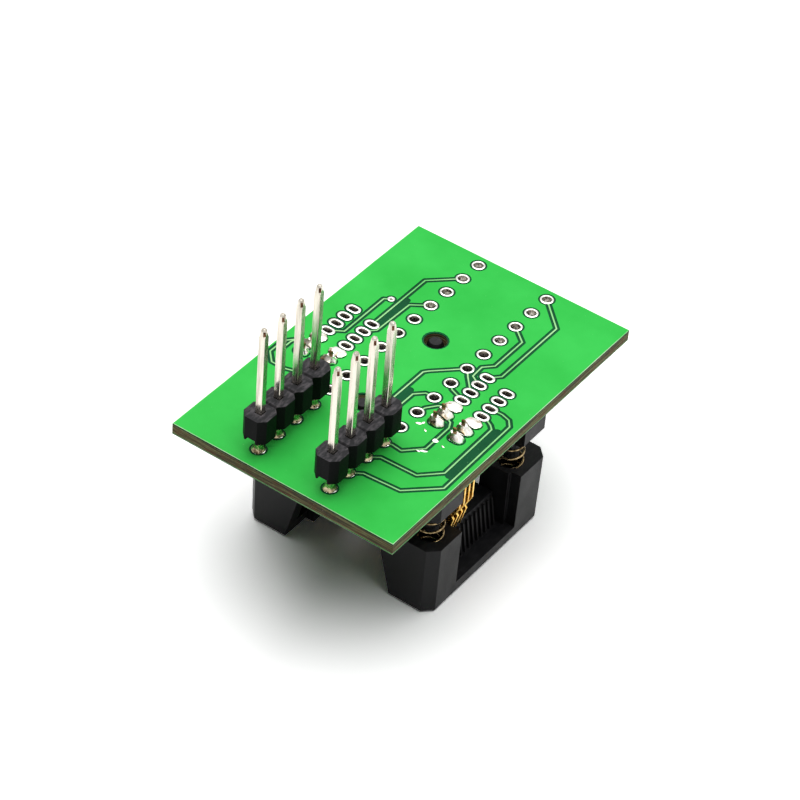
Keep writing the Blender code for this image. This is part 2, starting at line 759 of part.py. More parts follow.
def cut_contact_room(base):
    """Opens the base's long sides and the slots that the contacts stand in."""
    below = BASE_BOTTOM - PAST
    chambers = bmesh.new()
    openings = bmesh.new()
    slots = bmesh.new()
    tail_holes = bmesh.new()
    half_chamber = CHAMBER_LENGTH / 2
    wall_inside = CHAMBER_HALF_WIDTH
    opening_front = SIDE_OPENING_FRONT - BASE_OPENING_MARGIN
    half_slot = SLOT_WIDTH / 2
    half_tail = TAIL_WIDTH / 2 + CONTACT_SLOT_GAP
    slot_start = INNER_TAIL_X - TAIL_INSET - half_tail
    for side in SIDES.values():
        low_x, high_x = sorted((side * BASE_CORE_X, side * wall_inside))
        add_box(chambers, (low_x, -half_chamber, below), (high_x, half_chamber, ROOF_BOTTOM))
        low_x, high_x = sorted((side * (wall_inside - LAP), side * (BASE_WIDTH / 2 + PAST)))
        add_box(openings, (low_x, opening_front, below), (high_x, SIDE_OPENING_BACK, ROOF_BOTTOM))
        for index in range(CONTACT_POSITIONS):
            y = contact_y(index)
            low_x, high_x = sorted((side * slot_start, side * (BASE_CORE_X + LAP)))
            add_box(slots, (low_x, y - half_slot, below), (high_x, y + half_slot, ROOF_BOTTOM))
            x = side * (tail_x(side, index) - TAIL_INSET)
            add_box(
                tail_holes,
                (x - half_tail, y - half_slot, ROOF_BOTTOM - LAP),
                (x + half_tail, y + half_slot, BASE_TOP + PAST),
            )
    cut(base, "base_contact_chambers", chambers)
    cut(base, "base_side_openings", openings)
    cut(base, "base_contact_slots", slots)
    cut(base, "base_tail_holes", tail_holes)


def make_spring_room(base):
    """Sinks the spring pockets in the base, with a guide that stands in each spring."""
    below = BASE_BOTTOM - PAST
    top = BASE_BOTTOM + SPRING_POCKET_DEPTH
    guide_end = COVER_HEIGHT + COVER_TRAVEL - SPRING_POCKET_DEPTH + SPRING_GUIDE_END_GAP
    pockets = bmesh.new()
    guides = bmesh.new()
    diameter = 2 * SPRING_POCKET_RADIUS
    for x_side in SIDES.values():
        for y_side in ENDS.values():
            place = (x_side * SPRING_X, y_side * SPRING_Y)
            add_prism(pockets, ellipse(*place, diameter, diameter, LATHE_SIDES), below, top)
            guide = ellipse(*place, SPRING_GUIDE_DIAMETER, SPRING_GUIDE_DIAMETER, LATHE_SIDES)
            add_prism(guides, guide, guide_end, top + ROOT)
    cut(base, "base_spring_pockets", pockets)
    join(base, "base_spring_guides", guides)


def cut_latch_room(base):
    """Cuts the slots that the cover's legs slide in, and the windows for their barbs."""
    slots = bmesh.new()
    windows = bmesh.new()
    half_width = LATCH_WIDTH / 2 + SLIDING_GAP
    ledge_top = BASE_BOTTOM + LATCH_REACH - BARB_HEIGHT - LEDGE_GAP
    slot_inner = LATCH_INNER_Y - SLIDING_GAP
    slot_outer = LATCH_OUTER_Y + SLIDING_GAP
    for end in ENDS.values():
        low_y, high_y = sorted((end * slot_inner, end * slot_outer))
        add_box(slots, (-half_width, low_y, BASE_BOTTOM - PAST), (half_width, high_y, BASE_TOP + PAST))
        low_y, high_y = sorted((end * (slot_outer - LAP), end * (BASE_LENGTH / 2 + PAST)))
        add_box(windows, (-half_width, low_y, ledge_top), (half_width, high_y, BASE_TOP + PAST))
    cut(base, "base_latch_slots", slots)
    cut(base, "base_latch_windows", windows)


def add_seat(base):
    """Stands the chip's seat on the base and cuts the comb that the contact tips pass through."""
    seat = bmesh.new()
    outline = chamfered_rectangle(0, SEAT_WIDTH, SEAT_LENGTH, SEAT_CORNER)
    add_prism(seat, outline, SEAT_FACE, BASE_BOTTOM + ROOT)
    join(base, "base_seat", seat)
    comb = bmesh.new()
    half_slot = SLOT_WIDTH / 2
    below = SEAT_FACE - PAST
    above = SEAT_FACE + COMB_HEIGHT
    for side in SIDES.values():
        low_x, high_x = sorted((side * COMB_INNER_X, side * (SEAT_WIDTH / 2 + PAST)))
        for index in range(CONTACT_POSITIONS):
            y = contact_y(index)
            add_box(comb, (low_x, y - half_slot, below), (high_x, y + half_slot, above))
    cut(base, "base_seat_comb", comb)
    pocket = bmesh.new()
    pocket_outline = rectangle(0, 0, SEAT_POCKET_WIDTH, SEAT_POCKET_LENGTH)
    add_prism(pocket, pocket_outline, SEAT_FACE - PAST, SEAT_FACE + SEAT_POCKET_DEPTH)
    cut(base, "base_seat_pocket", pocket)


def add_pegs(base):
    """Stands the two locating pegs on the base, which reach into the board."""
    pegs = bmesh.new()
    for end in ENDS.values():
        outline = ellipse(PEG_X, end * PEG_Y, PEG_DIAMETER, PEG_DIAMETER, LATHE_SIDES)
        add_prism(pegs, outline, BASE_TOP - ROOT, BOARD_TOP - PEG_RECESS)
    join(base, "base_pegs", pegs)


def make_base(materials):
    """The socket's base, which carries contacts, springs and the chip."""
    base = make_base_block(materials)
    cut_contact_room(base)
    make_spring_room(base)
    cut_latch_room(base)
    add_seat(base)
    add_pegs(base)


def helix_frames(turns, radius, pitch):
    """Centre points and outward directions along a coil that starts at height zero."""
    steps = round(turns * SPRING_TURN_STEPS)
    frames = []
    for step in range(steps + 1):
        angle = 2 * math.pi * step / SPRING_TURN_STEPS
        outward = (math.cos(angle), math.sin(angle))
        centre = (radius * outward[0], radius * outward[1], pitch * step / SPRING_TURN_STEPS)
        frames.append((centre, outward))
    return frames


def make_spring(name, spring_x, spring_y, materials):
    """An open coil of round wire between the cover's pocket and the base's."""
    wire_radius = SPRING_WIRE / 2
    low = COVER_HEIGHT - SPRING_POCKET_DEPTH + FIXED_GAP + wire_radius
    high = BASE_BOTTOM + SPRING_POCKET_DEPTH - FIXED_GAP - wire_radius
    turns = max(1, round((high - low) / SPRING_PITCH))
    mean_radius = (SPRING_DIAMETER - SPRING_WIRE) / 2
    sections = []
    for centre, outward in helix_frames(turns, mean_radius, (high - low) / turns):
        section = []
        for side in range(SPRING_WIRE_SIDES):
            angle = 2 * math.pi * side / SPRING_WIRE_SIDES
            reach = wire_radius * math.cos(angle)
            lift = wire_radius * math.sin(angle)
            x, y = (middle + reach * way for middle, way in zip(centre, outward))
            section.append((x, y, centre[2] + lift))
        sections.append(section)
    shape = bmesh.new()
    add_loft(shape, sections)
    spring = link_mesh(name, shape, materials["spring_steel"])
    spring.location = (SOCKET_X + spring_x, SOCKET_Y + spring_y, low)
    shade_round(spring)


def contact_profile(tail):
    """Outline of a stamped contact, across the socket and up, for the middle of its tail."""
    half_strip = CONTACT_STRIP / 2
    half_tail = TAIL_WIDTH / 2
    top = BOARD_TOP + TAIL_ABOVE_BOARD
    foot_top = ROOF_BOTTOM - CONTACT_SLOT_GAP
    foot_bottom = foot_top - CONTACT_STRIP
    stem_end = BASE_BOTTOM - STEM_DROP
    shoulder_z = BASE_BOTTOM - SHOULDER_DROP
    shoulder_out = SHOULDER_X + half_strip
    lever_end = BASE_BOTTOM - LEVER_DROP
    tip_z = SEAT_FACE - TIP_LEAD_GAP
    arm_z = shoulder_z + ARM_RISE
    arm_x = (TIP_X + SHOULDER_X) / 2
    return [
        (tail - half_tail, top),
        (tail - half_tail, foot_bottom),
        (STEM_X - half_strip, foot_bottom),
        (STEM_X - half_strip, stem_end),
        (SHOULDER_X - half_strip, arm_z),
        (arm_x, arm_z),
        (TIP_X + half_strip, tip_z + half_strip),
        (TIP_X - half_strip, tip_z),
        (TIP_X + half_strip, tip_z - half_strip),
        (arm_x, arm_z - CONTACT_STRIP),
        (LEVER_X, shoulder_z),
        (LEVER_X - half_strip, lever_end),
        (LEVER_X + half_strip, lever_end),
        (shoulder_out, shoulder_z),
        (shoulder_out - NECK, shoulder_z + NECK),
        (STEM_X + half_strip, stem_end),
        (STEM_X + half_strip, foot_top),
        (tail + half_tail, foot_top),
        (tail + half_tail, top),
    ]


def make_contact(name, side, index, materials):
    """One stamped contact, from its tail above the board to its tip and lever."""
    half = CONTACT_THICKNESS / 2
    profile = [(side * x, z) for x, z in contact_profile(tail_x(side, index) - TAIL_INSET)]
    shape = bmesh.new()
    add_loft(shape, [along_y(profile, -half), along_y(profile, half)])
    contact = link_mesh(name, shape, materials["contact_gold"])
    contact.location = (SOCKET_X, SOCKET_Y + contact_y(index), 0)


def make_springs_and_contacts(materials):
    """The four corner springs and the contacts that are fitted."""
    for side_name, side in SIDES.items():
        for end_name, end in ENDS.items():
            make_spring(f"spring_{end_name}_{side_name}", side * SPRING_X, end * SPRING_Y, materials)
        for index in filter(is_fitted, range(CONTACT_POSITIONS)):
            number = CONTACT_POSITIONS - index
            make_contact(f"contact_{side_name}_{number}", side, index, materials)


def main():
    """Builds the whole adapter."""
    remove_all_objects()
    materials = make_materials()
    make_board(materials)
    for side_name in SIDES:
        make_header(side_name, materials)
    make_pin_solder(materials)
    make_contact_solder(materials)
    make_solder_plugs(materials)
    make_base(materials)
    make_cover(materials)
    make_springs_and_contacts(materials)


main()
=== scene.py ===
"""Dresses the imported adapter: circuit board relief, plating, solder, pins, springs and mouldings.

Units are metres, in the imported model's own frame. Plan points of the board are in millimetres from
the middle of the pin grid, and solder and pin profiles are in millimetres too. They are turned into
metres where they are used.
"""
import math

import bmesh
import bpy
import numpy as np
from mathutils import Matrix, Vector, noise
from mathutils.geometry import delaunay_2d_cdt


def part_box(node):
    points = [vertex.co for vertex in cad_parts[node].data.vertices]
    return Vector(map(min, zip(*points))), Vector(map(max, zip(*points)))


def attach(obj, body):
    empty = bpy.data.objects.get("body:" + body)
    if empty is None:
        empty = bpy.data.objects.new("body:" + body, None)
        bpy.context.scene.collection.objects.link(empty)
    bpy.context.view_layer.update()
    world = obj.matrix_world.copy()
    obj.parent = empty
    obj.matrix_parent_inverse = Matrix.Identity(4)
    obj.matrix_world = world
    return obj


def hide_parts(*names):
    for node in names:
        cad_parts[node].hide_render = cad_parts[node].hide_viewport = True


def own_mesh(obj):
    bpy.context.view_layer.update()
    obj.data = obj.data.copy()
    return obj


MM = 0.001

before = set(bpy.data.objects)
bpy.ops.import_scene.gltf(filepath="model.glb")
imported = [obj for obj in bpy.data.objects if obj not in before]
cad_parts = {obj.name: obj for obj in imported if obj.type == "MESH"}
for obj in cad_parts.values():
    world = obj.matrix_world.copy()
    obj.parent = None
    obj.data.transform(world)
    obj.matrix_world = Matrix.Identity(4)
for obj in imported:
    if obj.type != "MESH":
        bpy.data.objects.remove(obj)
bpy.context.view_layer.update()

SIDES = {"left": -1, "right": 1}
ENDS = ("front", "back")
ROOT_BODY = "adapter"
COVER_BODY = "press_cover"
UP = (0, 0, 1)

# Camera that shows the photo's view
CAMERA_TARGET = Vector((1.49 * MM, -3.05 * MM, 17.38 * MM))
CAMERA_AZIMUTH = math.radians(32.63)
CAMERA_ELEVATION = math.radians(40.92)
CAMERA_ROLL = math.radians(4.99)
CAMERA_DISTANCE = 269.31 * MM
CAMERA_FOCAL_LENGTH = 138.78
CAMERA_SENSOR = 36.0
CAMERA_NEAREST = 10 * MM

# Header grid and the socket's contacts
PIN_PITCH = 2.54 * MM
HOLES_A_ROW = 14
HEADER_PINS = 4
CONTACT_PITCH = 0.65 * MM
CONTACT_POSITIONS = 14
FITTED_CONTACTS = 4
SOLDERED_PADS = 6
TAIL_INSET = 0.22 * MM

# Holes and pads of the board: a reach is half of a long one's straight stretch
GRID_HOLE_RADIUS = 0.48 * MM
GRID_PAD_RADIUS = 0.64 * MM
TAIL_HOLE_RADIUS = 0.33 * MM
TAIL_HOLE_REACH = 0.17 * MM
TAIL_PAD_RADIUS = 0.5 * MM
TAIL_PAD_REACH = 0.225 * MM
VIA_HOLE_RADIUS = 0.16 * MM
VIA_PAD_RADIUS = 0.34 * MM
VIA_PLACE = (-7.08, 7.29)
CAD_PAD_HEIGHT = 0.06 * MM
PAD_HEIGHT = 0.055 * MM
PAD_EDGE = 0.6 * PAD_HEIGHT
PLATING = 0.035 * MM

# Locating pegs of the socket and their holes
PEG_PLACES = ((-0.60, 5.165), (-0.60, -5.765))
PEG_HOLE_RADIUS = 1.1 * MM
PEG_TIP_SHARE = 0.72
PEG_TIP_LENGTH = 0.4 * MM

# Copper under the solder mask
TRACK_HALF_WIDTH = 0.07 * MM
TRACK_ISOLATION = 0.25 * MM
PAD_ISOLATION = 0.18 * MM
PEG_ISOLATION = 0.16 * MM
COPPER_HEIGHT = 0.045 * MM
COPPER_SLOPE = 0.04 * MM
# Width of the strip along the board's top edge that carries the painted highlight
HIGHLIGHT_RIM_WIDTH = 0.06 * MM
MASK_BAND = 0.15 * MM

# Lanes of the lower side's tracks: how many, the first holes and contacts that they join, their places
# across, and where they start and end along the board
LOWER_LANES = 3
BACK_HOLE = 9
BACK_CONTACT = 5
FRONT_CONTACT = 12
FIRST_LANE = 1.6
LANE_STEP = 0.75
BACK_LANE = (7.2, 2.2)
FRONT_LANE = (-12.5, -7.2)

# Points on a pad's outline and on a half circle, and how sharply a long outline's halves part
PAD_STEPS = 28
ARC_STEPS = 9
LONG_STEEPNESS = 4

# Tolerance of the triangulation in millimetres, and a square length that stands for none
CDT_TOLERANCE = 1e-4
LEAST_SQUARE = 1e-18

# Finishes of the board's faces, in the order of their material numbers. The track and rim finishes are light
# greens that paint sheen and a highlight
BOARD_FINISHES = ("mask_copper", "mask_bare", "laminate_edge", "mask_track_sheen", "mask_rim_highlight")
COPPER, BARE, LAMINATE, TRACK_SHEEN, RIM_HIGHLIGHT = range(len(BOARD_FINISHES))

# Glass cloth: half a wave to a thread, from a wave texture that turns by 20 radians a unit
WEAVE_PITCH = 0.5 * MM
WAVE_RADIANS = 20

# Other details of the finishes
DUST = (0.3, 0.75, 0.3)
MASK_SPECULAR = 0.08
RESIN_STAIN = (0.28, 0.1, 0.04)
GLASS_FLECK = (0.5, 0.47, 0.33)
# Brown on the solder's sides that face towards −x and −y: partly flux, partly painted shade
FLUX_AND_SHADE_BROWN = (0.09, 0.05, 0.02)
FLUX_AND_SHADE_SIDE = (-0.8, -0.6, 0)
EVEN = (1, 1, 1)
DRAWN = (1, 1, 0.08)

# Solder masks: dark and light tone, and roughness. The track mask's light green is painted sheen on the
# raised tracks, and the rim mask's near-white green is a painted highlight along the board's top edge
MASKS = {
    "mask_copper": ((0.034, 0.55, 0.07), (0.05, 0.64, 0.095), 0.4),
    "mask_bare": ((0.0015, 0.062, 0.02), (0.004, 0.11, 0.035), 0.45),
    "mask_track_sheen": ((0.16, 0.68, 0.17), (0.55, 0.92, 0.46), 0.35),
    "mask_rim_highlight": ((0.1, 0.66, 0.12), (0.75, 0.97, 0.68), 0.3),
}

# Metals: dark and light tone, roughness, size and depth of the grain, and its stretch
METALS = {
    "pad_tin": ((0.62, 0.61, 0.56), (0.93, 0.92, 0.88), 0.22, 0.25 * MM, 0.012 * MM, EVEN),
    "hole_barrel": ((0.3, 0.28, 0.25), (0.8, 0.77, 0.72), 0.25, 0.2 * MM, 0.01 * MM, EVEN),
    "header_solder": ((0.06, 0.035, 0.012), (0.7, 0.58, 0.38), 0.22, 0.16 * MM, 0.02 * MM, EVEN),
    "pin_tin": ((0.44, 0.4, 0.33), (0.66, 0.62, 0.54), 0.2, 0.12 * MM, 0.003 * MM, DRAWN),
    "pin_bare": ((0.05, 0.02, 0.012), (0.18, 0.09, 0.05), 0.4, 0.1 * MM, 0.006 * MM, EVEN),
    "spring_wire": ((0.1, 0.07, 0.03), (0.42, 0.31, 0.16), 0.25, 0.15 * MM, 0.004 * MM, EVEN),
    "contact_gold": ((0.85, 0.42, 0.05), (1.0, 0.68, 0.18), 0.2, 0.2 * MM, 0.004 * MM, EVEN),
    "contact_tail": ((0.05, 0.03, 0.012), (0.22, 0.14, 0.06), 0.35, 0.15 * MM, 0.006 * MM, EVEN),
}

# Black mouldings: dark and light sides, worn and scuffed tops that are lighter as painted light from above,
# roughness, specular level and grain
PLASTICS = {
    "header_black": (
        (0.002, 0.002, 0.0025), (0.007, 0.007, 0.008), (0.035, 0.035, 0.038), (0.14, 0.13, 0.14),
        0.5, 0.05, 0.09 * MM,
    ),
    "socket_black": (
        (0.002, 0.002, 0.002), (0.006, 0.006, 0.007), (0.008, 0.008, 0.009), (0.02, 0.02, 0.022),
        0.45, 0.18, 0.07 * MM,
    ),
}

# Light from the sky and the lamp, and the floor's level for bounced light and when it is seen
SKY_LEVEL = 0.055
LAMP_PLACE = (-0.01, 0.03, 0.4)
LAMP_SIZE = 0.56
LAMP_POWER = 2.48
FLOOR_SIZE = 4.0
FLOOR_COLOUR = 0.12
FLOOR_SEEN = 1.65

# Solder joints: profiles of (radius, height), reach of the long ones, and how uneven they are
HEADER_CONE = [
    (0.63, 0.0), (0.62, 0.07), (0.55, 0.15), (0.48, 0.27),
    (0.44, 0.43), (0.415, 0.6), (0.40, 0.74), (0.33, 0.76),
]
CONTACT_DOME = [(0.5, 0.0), (0.52, 0.06), (0.5, 0.16), (0.43, 0.3), (0.33, 0.44), (0.27, 0.58), (0.23, 0.7)]
FILLED_PAD = [(0.55, 0.0), (0.57, 0.06), (0.55, 0.14), (0.47, 0.22), (0.34, 0.27), (0.15, 0.3)]
SOLDER_REACH = 0.28 * MM
HEADER_SWELL = 0.14
CONTACT_SWELL = 0.25
SWELL_GRAIN = 1.7
JOINT_STEPS = 32

# Steps in the noise that make each joint differ from the next, and one side from the other
HEADER_SEED = 3.1
CONTACT_SEED = 5.3
SIDE_SEED = 2.7

# Splashes of solder: plan place, half sizes in millimetres and turn in degrees
SPLASHES = [
    (4.74, -4.93, 0.34, 0.14, 25),
    (5.05, -4.6, 0.2, 0.1, 60),
    (5.73, -5.31, 0.18, 0.09, -20),
    (7.17, -5.82, 0.3, 0.24, 20),
    (7.2, -7.6, 0.38, 0.12, 30),
    (6.8, -7.9, 0.2, 0.1, 10),
    (8.14, -6.04, 0.2, 0.08, -10),
]

# Height of the splashes, and the noise that makes their edges ragged in the same way each time
SPLASH_HEIGHT = 0.07 * MM
SPLASH_DRIFT = 0.08 * MM
SPLASH_GRAIN = 0.3 * MM
SPLASH_SEED = 1

# Header pins: (millimetres above the foot or below the tip, share of half the width, share of it cut)
PIN_FOOT = [(0, 0.45, 0.16), (0.22, 1, 0.16)]
PIN_TIP = [(0.85, 1, 0.16), (0.65, 1, 0.5), (0.2, 0.84, 0.6), (0.07, 0.66, 0.6), (0, 0.42, 0.6)]

# The face of a pin's tip that shows bare metal, by its band and its side
BARE_BAND = 3
BARE_SIDE = 7

# Groove across a header strip's top between two blocks
GROOVE_DEPTH = 0.15 * MM
GROOVE_HALF_WIDTH = 0.16 * MM

# Round wire of the springs
WIRE_RADIUS = 0.11 * MM
WIRE_SIDES = 12
SPRING_TURNS = 7
TURN_STEPS = 32
END_CLOSING = 0.09

# Contacts: level of the leaf's top
LEAF_TOP = 10.9 * MM

# Fine edges of the moulded and stamped pieces
MOULD_EDGE = 0.07 * MM
STAMP_EDGE = 0.03 * MM
EDGE_PROFILE = 0.6
FLAT_ANGLE = math.radians(2)
BEVEL_ANGLE = math.radians(25)
SMOOTH_ANGLE = math.radians(35)
MOULD_SMOOTH_ANGLE = math.radians(14)

# Gaps that count as none: between points that are welded, and between a point and a level
WELD_GAP = 0.002 * MM
TOLERANCE = 0.001 * MM

# Places of a Mix node's colour sockets, and the number of a piece's second finish
MIX_FIRST = 6
MIX_SECOND = 7
MIX_RESULT = 2
SECOND_FINISH = 1


def box_middle(node):
    """Middle of a node's box."""
    low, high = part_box(node)
    return (low + high) / 2


FIRST_PIN = {side: box_middle(f"header_pin_{side}_1") for side in SIDES}
GRID_X = (FIRST_PIN["left"].x + FIRST_PIN["right"].x) / 2
GRID_Y = FIRST_PIN["left"].y + (HOLES_A_ROW - 1) / 2 * PIN_PITCH
BOARD_LOW, BOARD_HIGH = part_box("circuit_board")
BOARD_BOTTOM = BOARD_LOW.z
BOARD_TOP = BOARD_HIGH.z - CAD_PAD_HEIGHT
FIRST_TAIL = {side: box_middle(f"contact_solder_{side}_1") for side in SIDES}
SECOND_TAIL = {side: box_middle(f"contact_solder_{side}_2") for side in SIDES}


# Materials

def add_node(tree, kind, inputs=None, **settings):
    """Adds a shader node, with its settings and with values or links for its inputs."""
    node = tree.nodes.new(kind)
    for name, value in settings.items():
        setattr(node, name, value)
    for name, value in (inputs or {}).items():
        if isinstance(value, bpy.types.NodeSocket):
            tree.links.new(value, node.inputs[name])
        else:
            node.inputs[name].default_value = value
    return node


def new_material(name, roughness, metallic=0.0, specular=0.5):
    """A material with its plain values set, and its node tree and shader."""
    material = bpy.data.materials.new(name)
    material.use_nodes = True
    tree = material.node_tree
    shader = tree.nodes["Principled BSDF"]
    shader.inputs["Roughness"].default_value = roughness
    shader.inputs["Metallic"].default_value = metallic
    shader.inputs["Specular IOR Level"].default_value = specular
    return material, tree, shader


def object_noise(tree, size, stretch=EVEN, detail=3.0, distortion=0.0):
    """Noise whose grains are about the given size in metres, as a socket."""
    place = add_node(tree, "ShaderNodeTexCoord").outputs["Object"]
    mapping = add_node(tree, "ShaderNodeMapping", {"Vector": place, "Scale": stretch})
    texture = add_node(
        tree,
        "ShaderNodeTexNoise",
        {"Vector": mapping.outputs["Vector"], "Scale": 1 / size, "Detail": detail, "Distortion": distortion},
    )
    return texture.outputs["Fac"]


def object_normal(tree):
    """The way that each point of the surface faces, as a socket."""
    return add_node(tree, "ShaderNodeTexCoord").outputs["Normal"]


def colour_ramp(tree, factor, stops):
    """Colours along a factor, from (place, colour) stops."""
    ramp = add_node(tree, "ShaderNodeValToRGB", {"Fac": factor})
    elements = ramp.color_ramp.elements
    while len(elements) < len(stops):
        elements.new(0.5)
    for element, (place, colour) in zip(elements, stops):
        element.position = place
        element.color = (*colour, 1.0)
    return ramp.outputs["Color"]


def number_range(tree, factor, low, high, from_low=0.3, from_high=0.7):
    """Maps a factor's middle part to a range of numbers."""
    return add_node(
        tree,
        "ShaderNodeMapRange",
        {"Value": factor, "From Min": from_low, "From Max": from_high, "To Min": low, "To Max": high},
    ).outputs["Result"]


def combine(tree, operation, first, second):
    """One number from two, as a socket."""
    return add_node(tree, "ShaderNodeMath", {0: first, 1: second}, operation=operation).outputs[0]


def mix_colours(tree, factor, first, second):
    """Mixes two colours, or colour sockets, by a factor."""
    mix = add_node(tree, "ShaderNodeMix", data_type="RGBA")
    tree.links.new(factor, mix.inputs["Factor"])
    for socket, value in ((mix.inputs[MIX_FIRST], first), (mix.inputs[MIX_SECOND], second)):
        if isinstance(value, bpy.types.NodeSocket):
            tree.links.new(value, socket)
        else:
            socket.default_value = (*value, 1.0)
    return mix.outputs[MIX_RESULT]


def set_finish(tree, shader, colour, bumps, roughness=None):
    """Links a colour, bump layers of (height socket, depth in metres) and a roughness to a shader."""
    tree.links.new(colour, shader.inputs["Base Color"])
    if roughness is not None:
        tree.links.new(roughness, shader.inputs["Roughness"])
    normal = None
    for height, depth in bumps:
        inputs = {"Height": height, "Distance": depth, "Strength": 1.0}
        if normal is not None:
            inputs["Normal"] = normal
        normal = add_node(tree, "ShaderNodeBump", inputs).outputs["Normal"]
    tree.links.new(normal, shader.inputs["Normal"])


def glass_weave(tree):
    """Height of the glass cloth that shows faintly through the solder mask."""
    place = add_node(tree, "ShaderNodeTexCoord").outputs["Object"]
    scale = math.pi / (WEAVE_PITCH * WAVE_RADIANS)
    waves = []
    for direction in ("X", "Y"):
        wave = add_node(
            tree,
            "ShaderNodeTexWave",
            {"Vector": place, "Scale": scale, "Distortion": 1.5, "Detail": 1.0},
            bands_direction=direction,
        )
        waves.append(wave.outputs["Fac"])
    return combine(tree, "MULTIPLY", *waves)


def make_mask_material(name, dark, light, roughness):
    """Solder mask: mottled green lacquer, with orange peel and a trace of the glass cloth."""
    material, tree, shader = new_material(name, roughness, specular=MASK_SPECULAR)
    broad = object_noise(tree, size=5 * MM, detail=4.0)
    specks = object_noise(tree, size=0.22 * MM, detail=1.0)
    fine = object_noise(tree, size=0.35 * MM, detail=2.0)
    mottled = colour_ramp(tree, broad, [(0.3, dark), (0.7, light)])
    is_speck = number_range(tree, specks, low=0.0, high=0.25, from_low=0.74, from_high=0.8)
    colour = mix_colours(tree, is_speck, mottled, DUST)
    bumps = [(glass_weave(tree), 0.0025 * MM), (fine, 0.003 * MM)]
    set_finish(tree, shader, colour, bumps, number_range(tree, fine, roughness - 0.06, roughness + 0.08))
    return material


def make_laminate_material():
    """Cut glass-fibre laminate: brown resin with fibre layers and pale frayed specks."""
    material, tree, shader = new_material("laminate_edge", roughness=0.7, specular=0.3)
    layers = object_noise(tree, size=1.2 * MM, stretch=(0.35, 0.35, 6.0), detail=4.0)
    blotches = object_noise(tree, size=0.8 * MM, detail=3.0)
    flecks = object_noise(tree, size=0.12 * MM, detail=2.0)
    stops = [(0.38, (0.05, 0.045, 0.02)), (0.5, (0.2, 0.18, 0.075)), (0.62, (0.42, 0.42, 0.2))]
    resin = colour_ramp(tree, layers, stops)
    is_stained = number_range(tree, blotches, low=0.0, high=0.5, from_low=0.54, from_high=0.72)
    stained = mix_colours(tree, is_stained, resin, RESIN_STAIN)
    is_fleck = number_range(tree, flecks, low=0.0, high=0.7, from_low=0.66, from_high=0.76)
    colour = mix_colours(tree, is_fleck, stained, GLASS_FLECK)
    set_finish(tree, shader, colour, [(layers, 0.02 * MM), (flecks, 0.012 * MM)])
    return material


def make_metal_material(name, dark, light, roughness, grain, depth, stretch):
    """Metal whose tone, gloss and surface vary with one grain."""
    material, tree, shader = new_material(name, roughness, metallic=1.0)
    tone = object_noise(tree, size=3 * grain, stretch=stretch, detail=3.0)
    fine = object_noise(tree, size=grain, stretch=stretch, detail=2.0)
    colour = colour_ramp(tree, tone, [(0.35, dark), (0.6, light)])
    gloss = number_range(tree, fine, roughness - 0.08, roughness + 0.1)
    set_finish(tree, shader, colour, [(fine, depth)], gloss)
    return material


def make_plastic_material(name, dark, light, lit_worn_top, lit_scuffed_top, roughness, specular, grain):
    """Black moulding: satin, finely textured, with flow marks, and worn, scuffed tops whose extra lightness
    is painted light from above.
    """
    material, tree, shader = new_material(name, roughness, specular=specular)
    flow = object_noise(tree, size=2.2 * MM, stretch=(1, 1, 0.35), detail=5.0, distortion=0.6)
    scuffs = object_noise(tree, size=0.8 * MM, stretch=(2.5, 1, 1), detail=4.0)
    fine = object_noise(tree, size=grain, detail=3.0)
    side = colour_ramp(tree, flow, [(0.35, dark), (0.7, light)])
    is_scuff = number_range(tree, scuffs, low=0.0, high=0.7, from_low=0.45, from_high=0.68)
    top = mix_colours(tree, is_scuff, lit_worn_top, lit_scuffed_top)
    # Upward faces take the lighter top colours: painted light from above, together with the scuffs
    facing_up = add_node(tree, "ShaderNodeSeparateXYZ", {"Vector": object_normal(tree)}).outputs["Z"]
    is_lit_top = number_range(tree, facing_up, low=0.0, high=1.0, from_low=0.5, from_high=0.95)
    colour = mix_colours(tree, is_lit_top, side, top)
    gloss = number_range(tree, flow, roughness - 0.08, roughness + 0.1)
    set_finish(tree, shader, colour, [(fine, 0.008 * MM), (flow, 0.01 * MM)], gloss)
    return material


def make_solder_material():
    """Solder: white where it flowed, and brown on the sides that face towards −x and −y, partly flux and
    partly painted shade.
    """
    material, tree, shader = new_material("solder_joint", roughness=0.2, metallic=1.0)
    broad = object_noise(tree, size=0.7 * MM, detail=3.0, distortion=0.5)
    fine = object_noise(tree, size=0.25 * MM, detail=2.0)
    stops = [(0.3, (0.5, 0.38, 0.22)), (0.4, (0.85, 0.81, 0.72)), (0.6, (0.97, 0.96, 0.93))]
    flowed = colour_ramp(tree, broad, stops)
    # The sides facing towards −x and −y are browned: partly flux, partly painted shade
    facing = {0: object_normal(tree), 1: FLUX_AND_SHADE_SIDE}
    to_flux_and_shade_side = add_node(tree, "ShaderNodeVectorMath", facing, operation="DOT_PRODUCT").outputs["Value"]
    is_flux_and_shade = number_range(tree, to_flux_and_shade_side, low=0.0, high=0.9)
    colour = mix_colours(tree, is_flux_and_shade, flowed, FLUX_AND_SHADE_BROWN)
    gloss = number_range(tree, fine, low=0.1, high=0.34)
    set_finish(tree, shader, colour, [(broad, 0.06 * MM), (fine, 0.015 * MM)], gloss)
    return material


def make_materials():
    """Every finish, by name."""
    materials = {"laminate_edge": make_laminate_material(), "solder_joint": make_solder_material()}
    kinds = ((make_mask_material, MASKS), (make_metal_material, METALS), (make_plastic_material, PLASTICS))
    for make, finishes in kinds:
        for name, values in finishes.items():
            materials[name] = make(name, *values)
    return materials


# Mesh helpers

def link_mesh(name, shape, materials, smooth_angle=SMOOTH_ANGLE):
    """Turns a bmesh into a named object with its faces pointing out and its curves smooth."""
    bmesh.ops.recalc_face_normals(shape, faces=shape.faces)
    return link_as_is(name, shape, materials, smooth_angle)


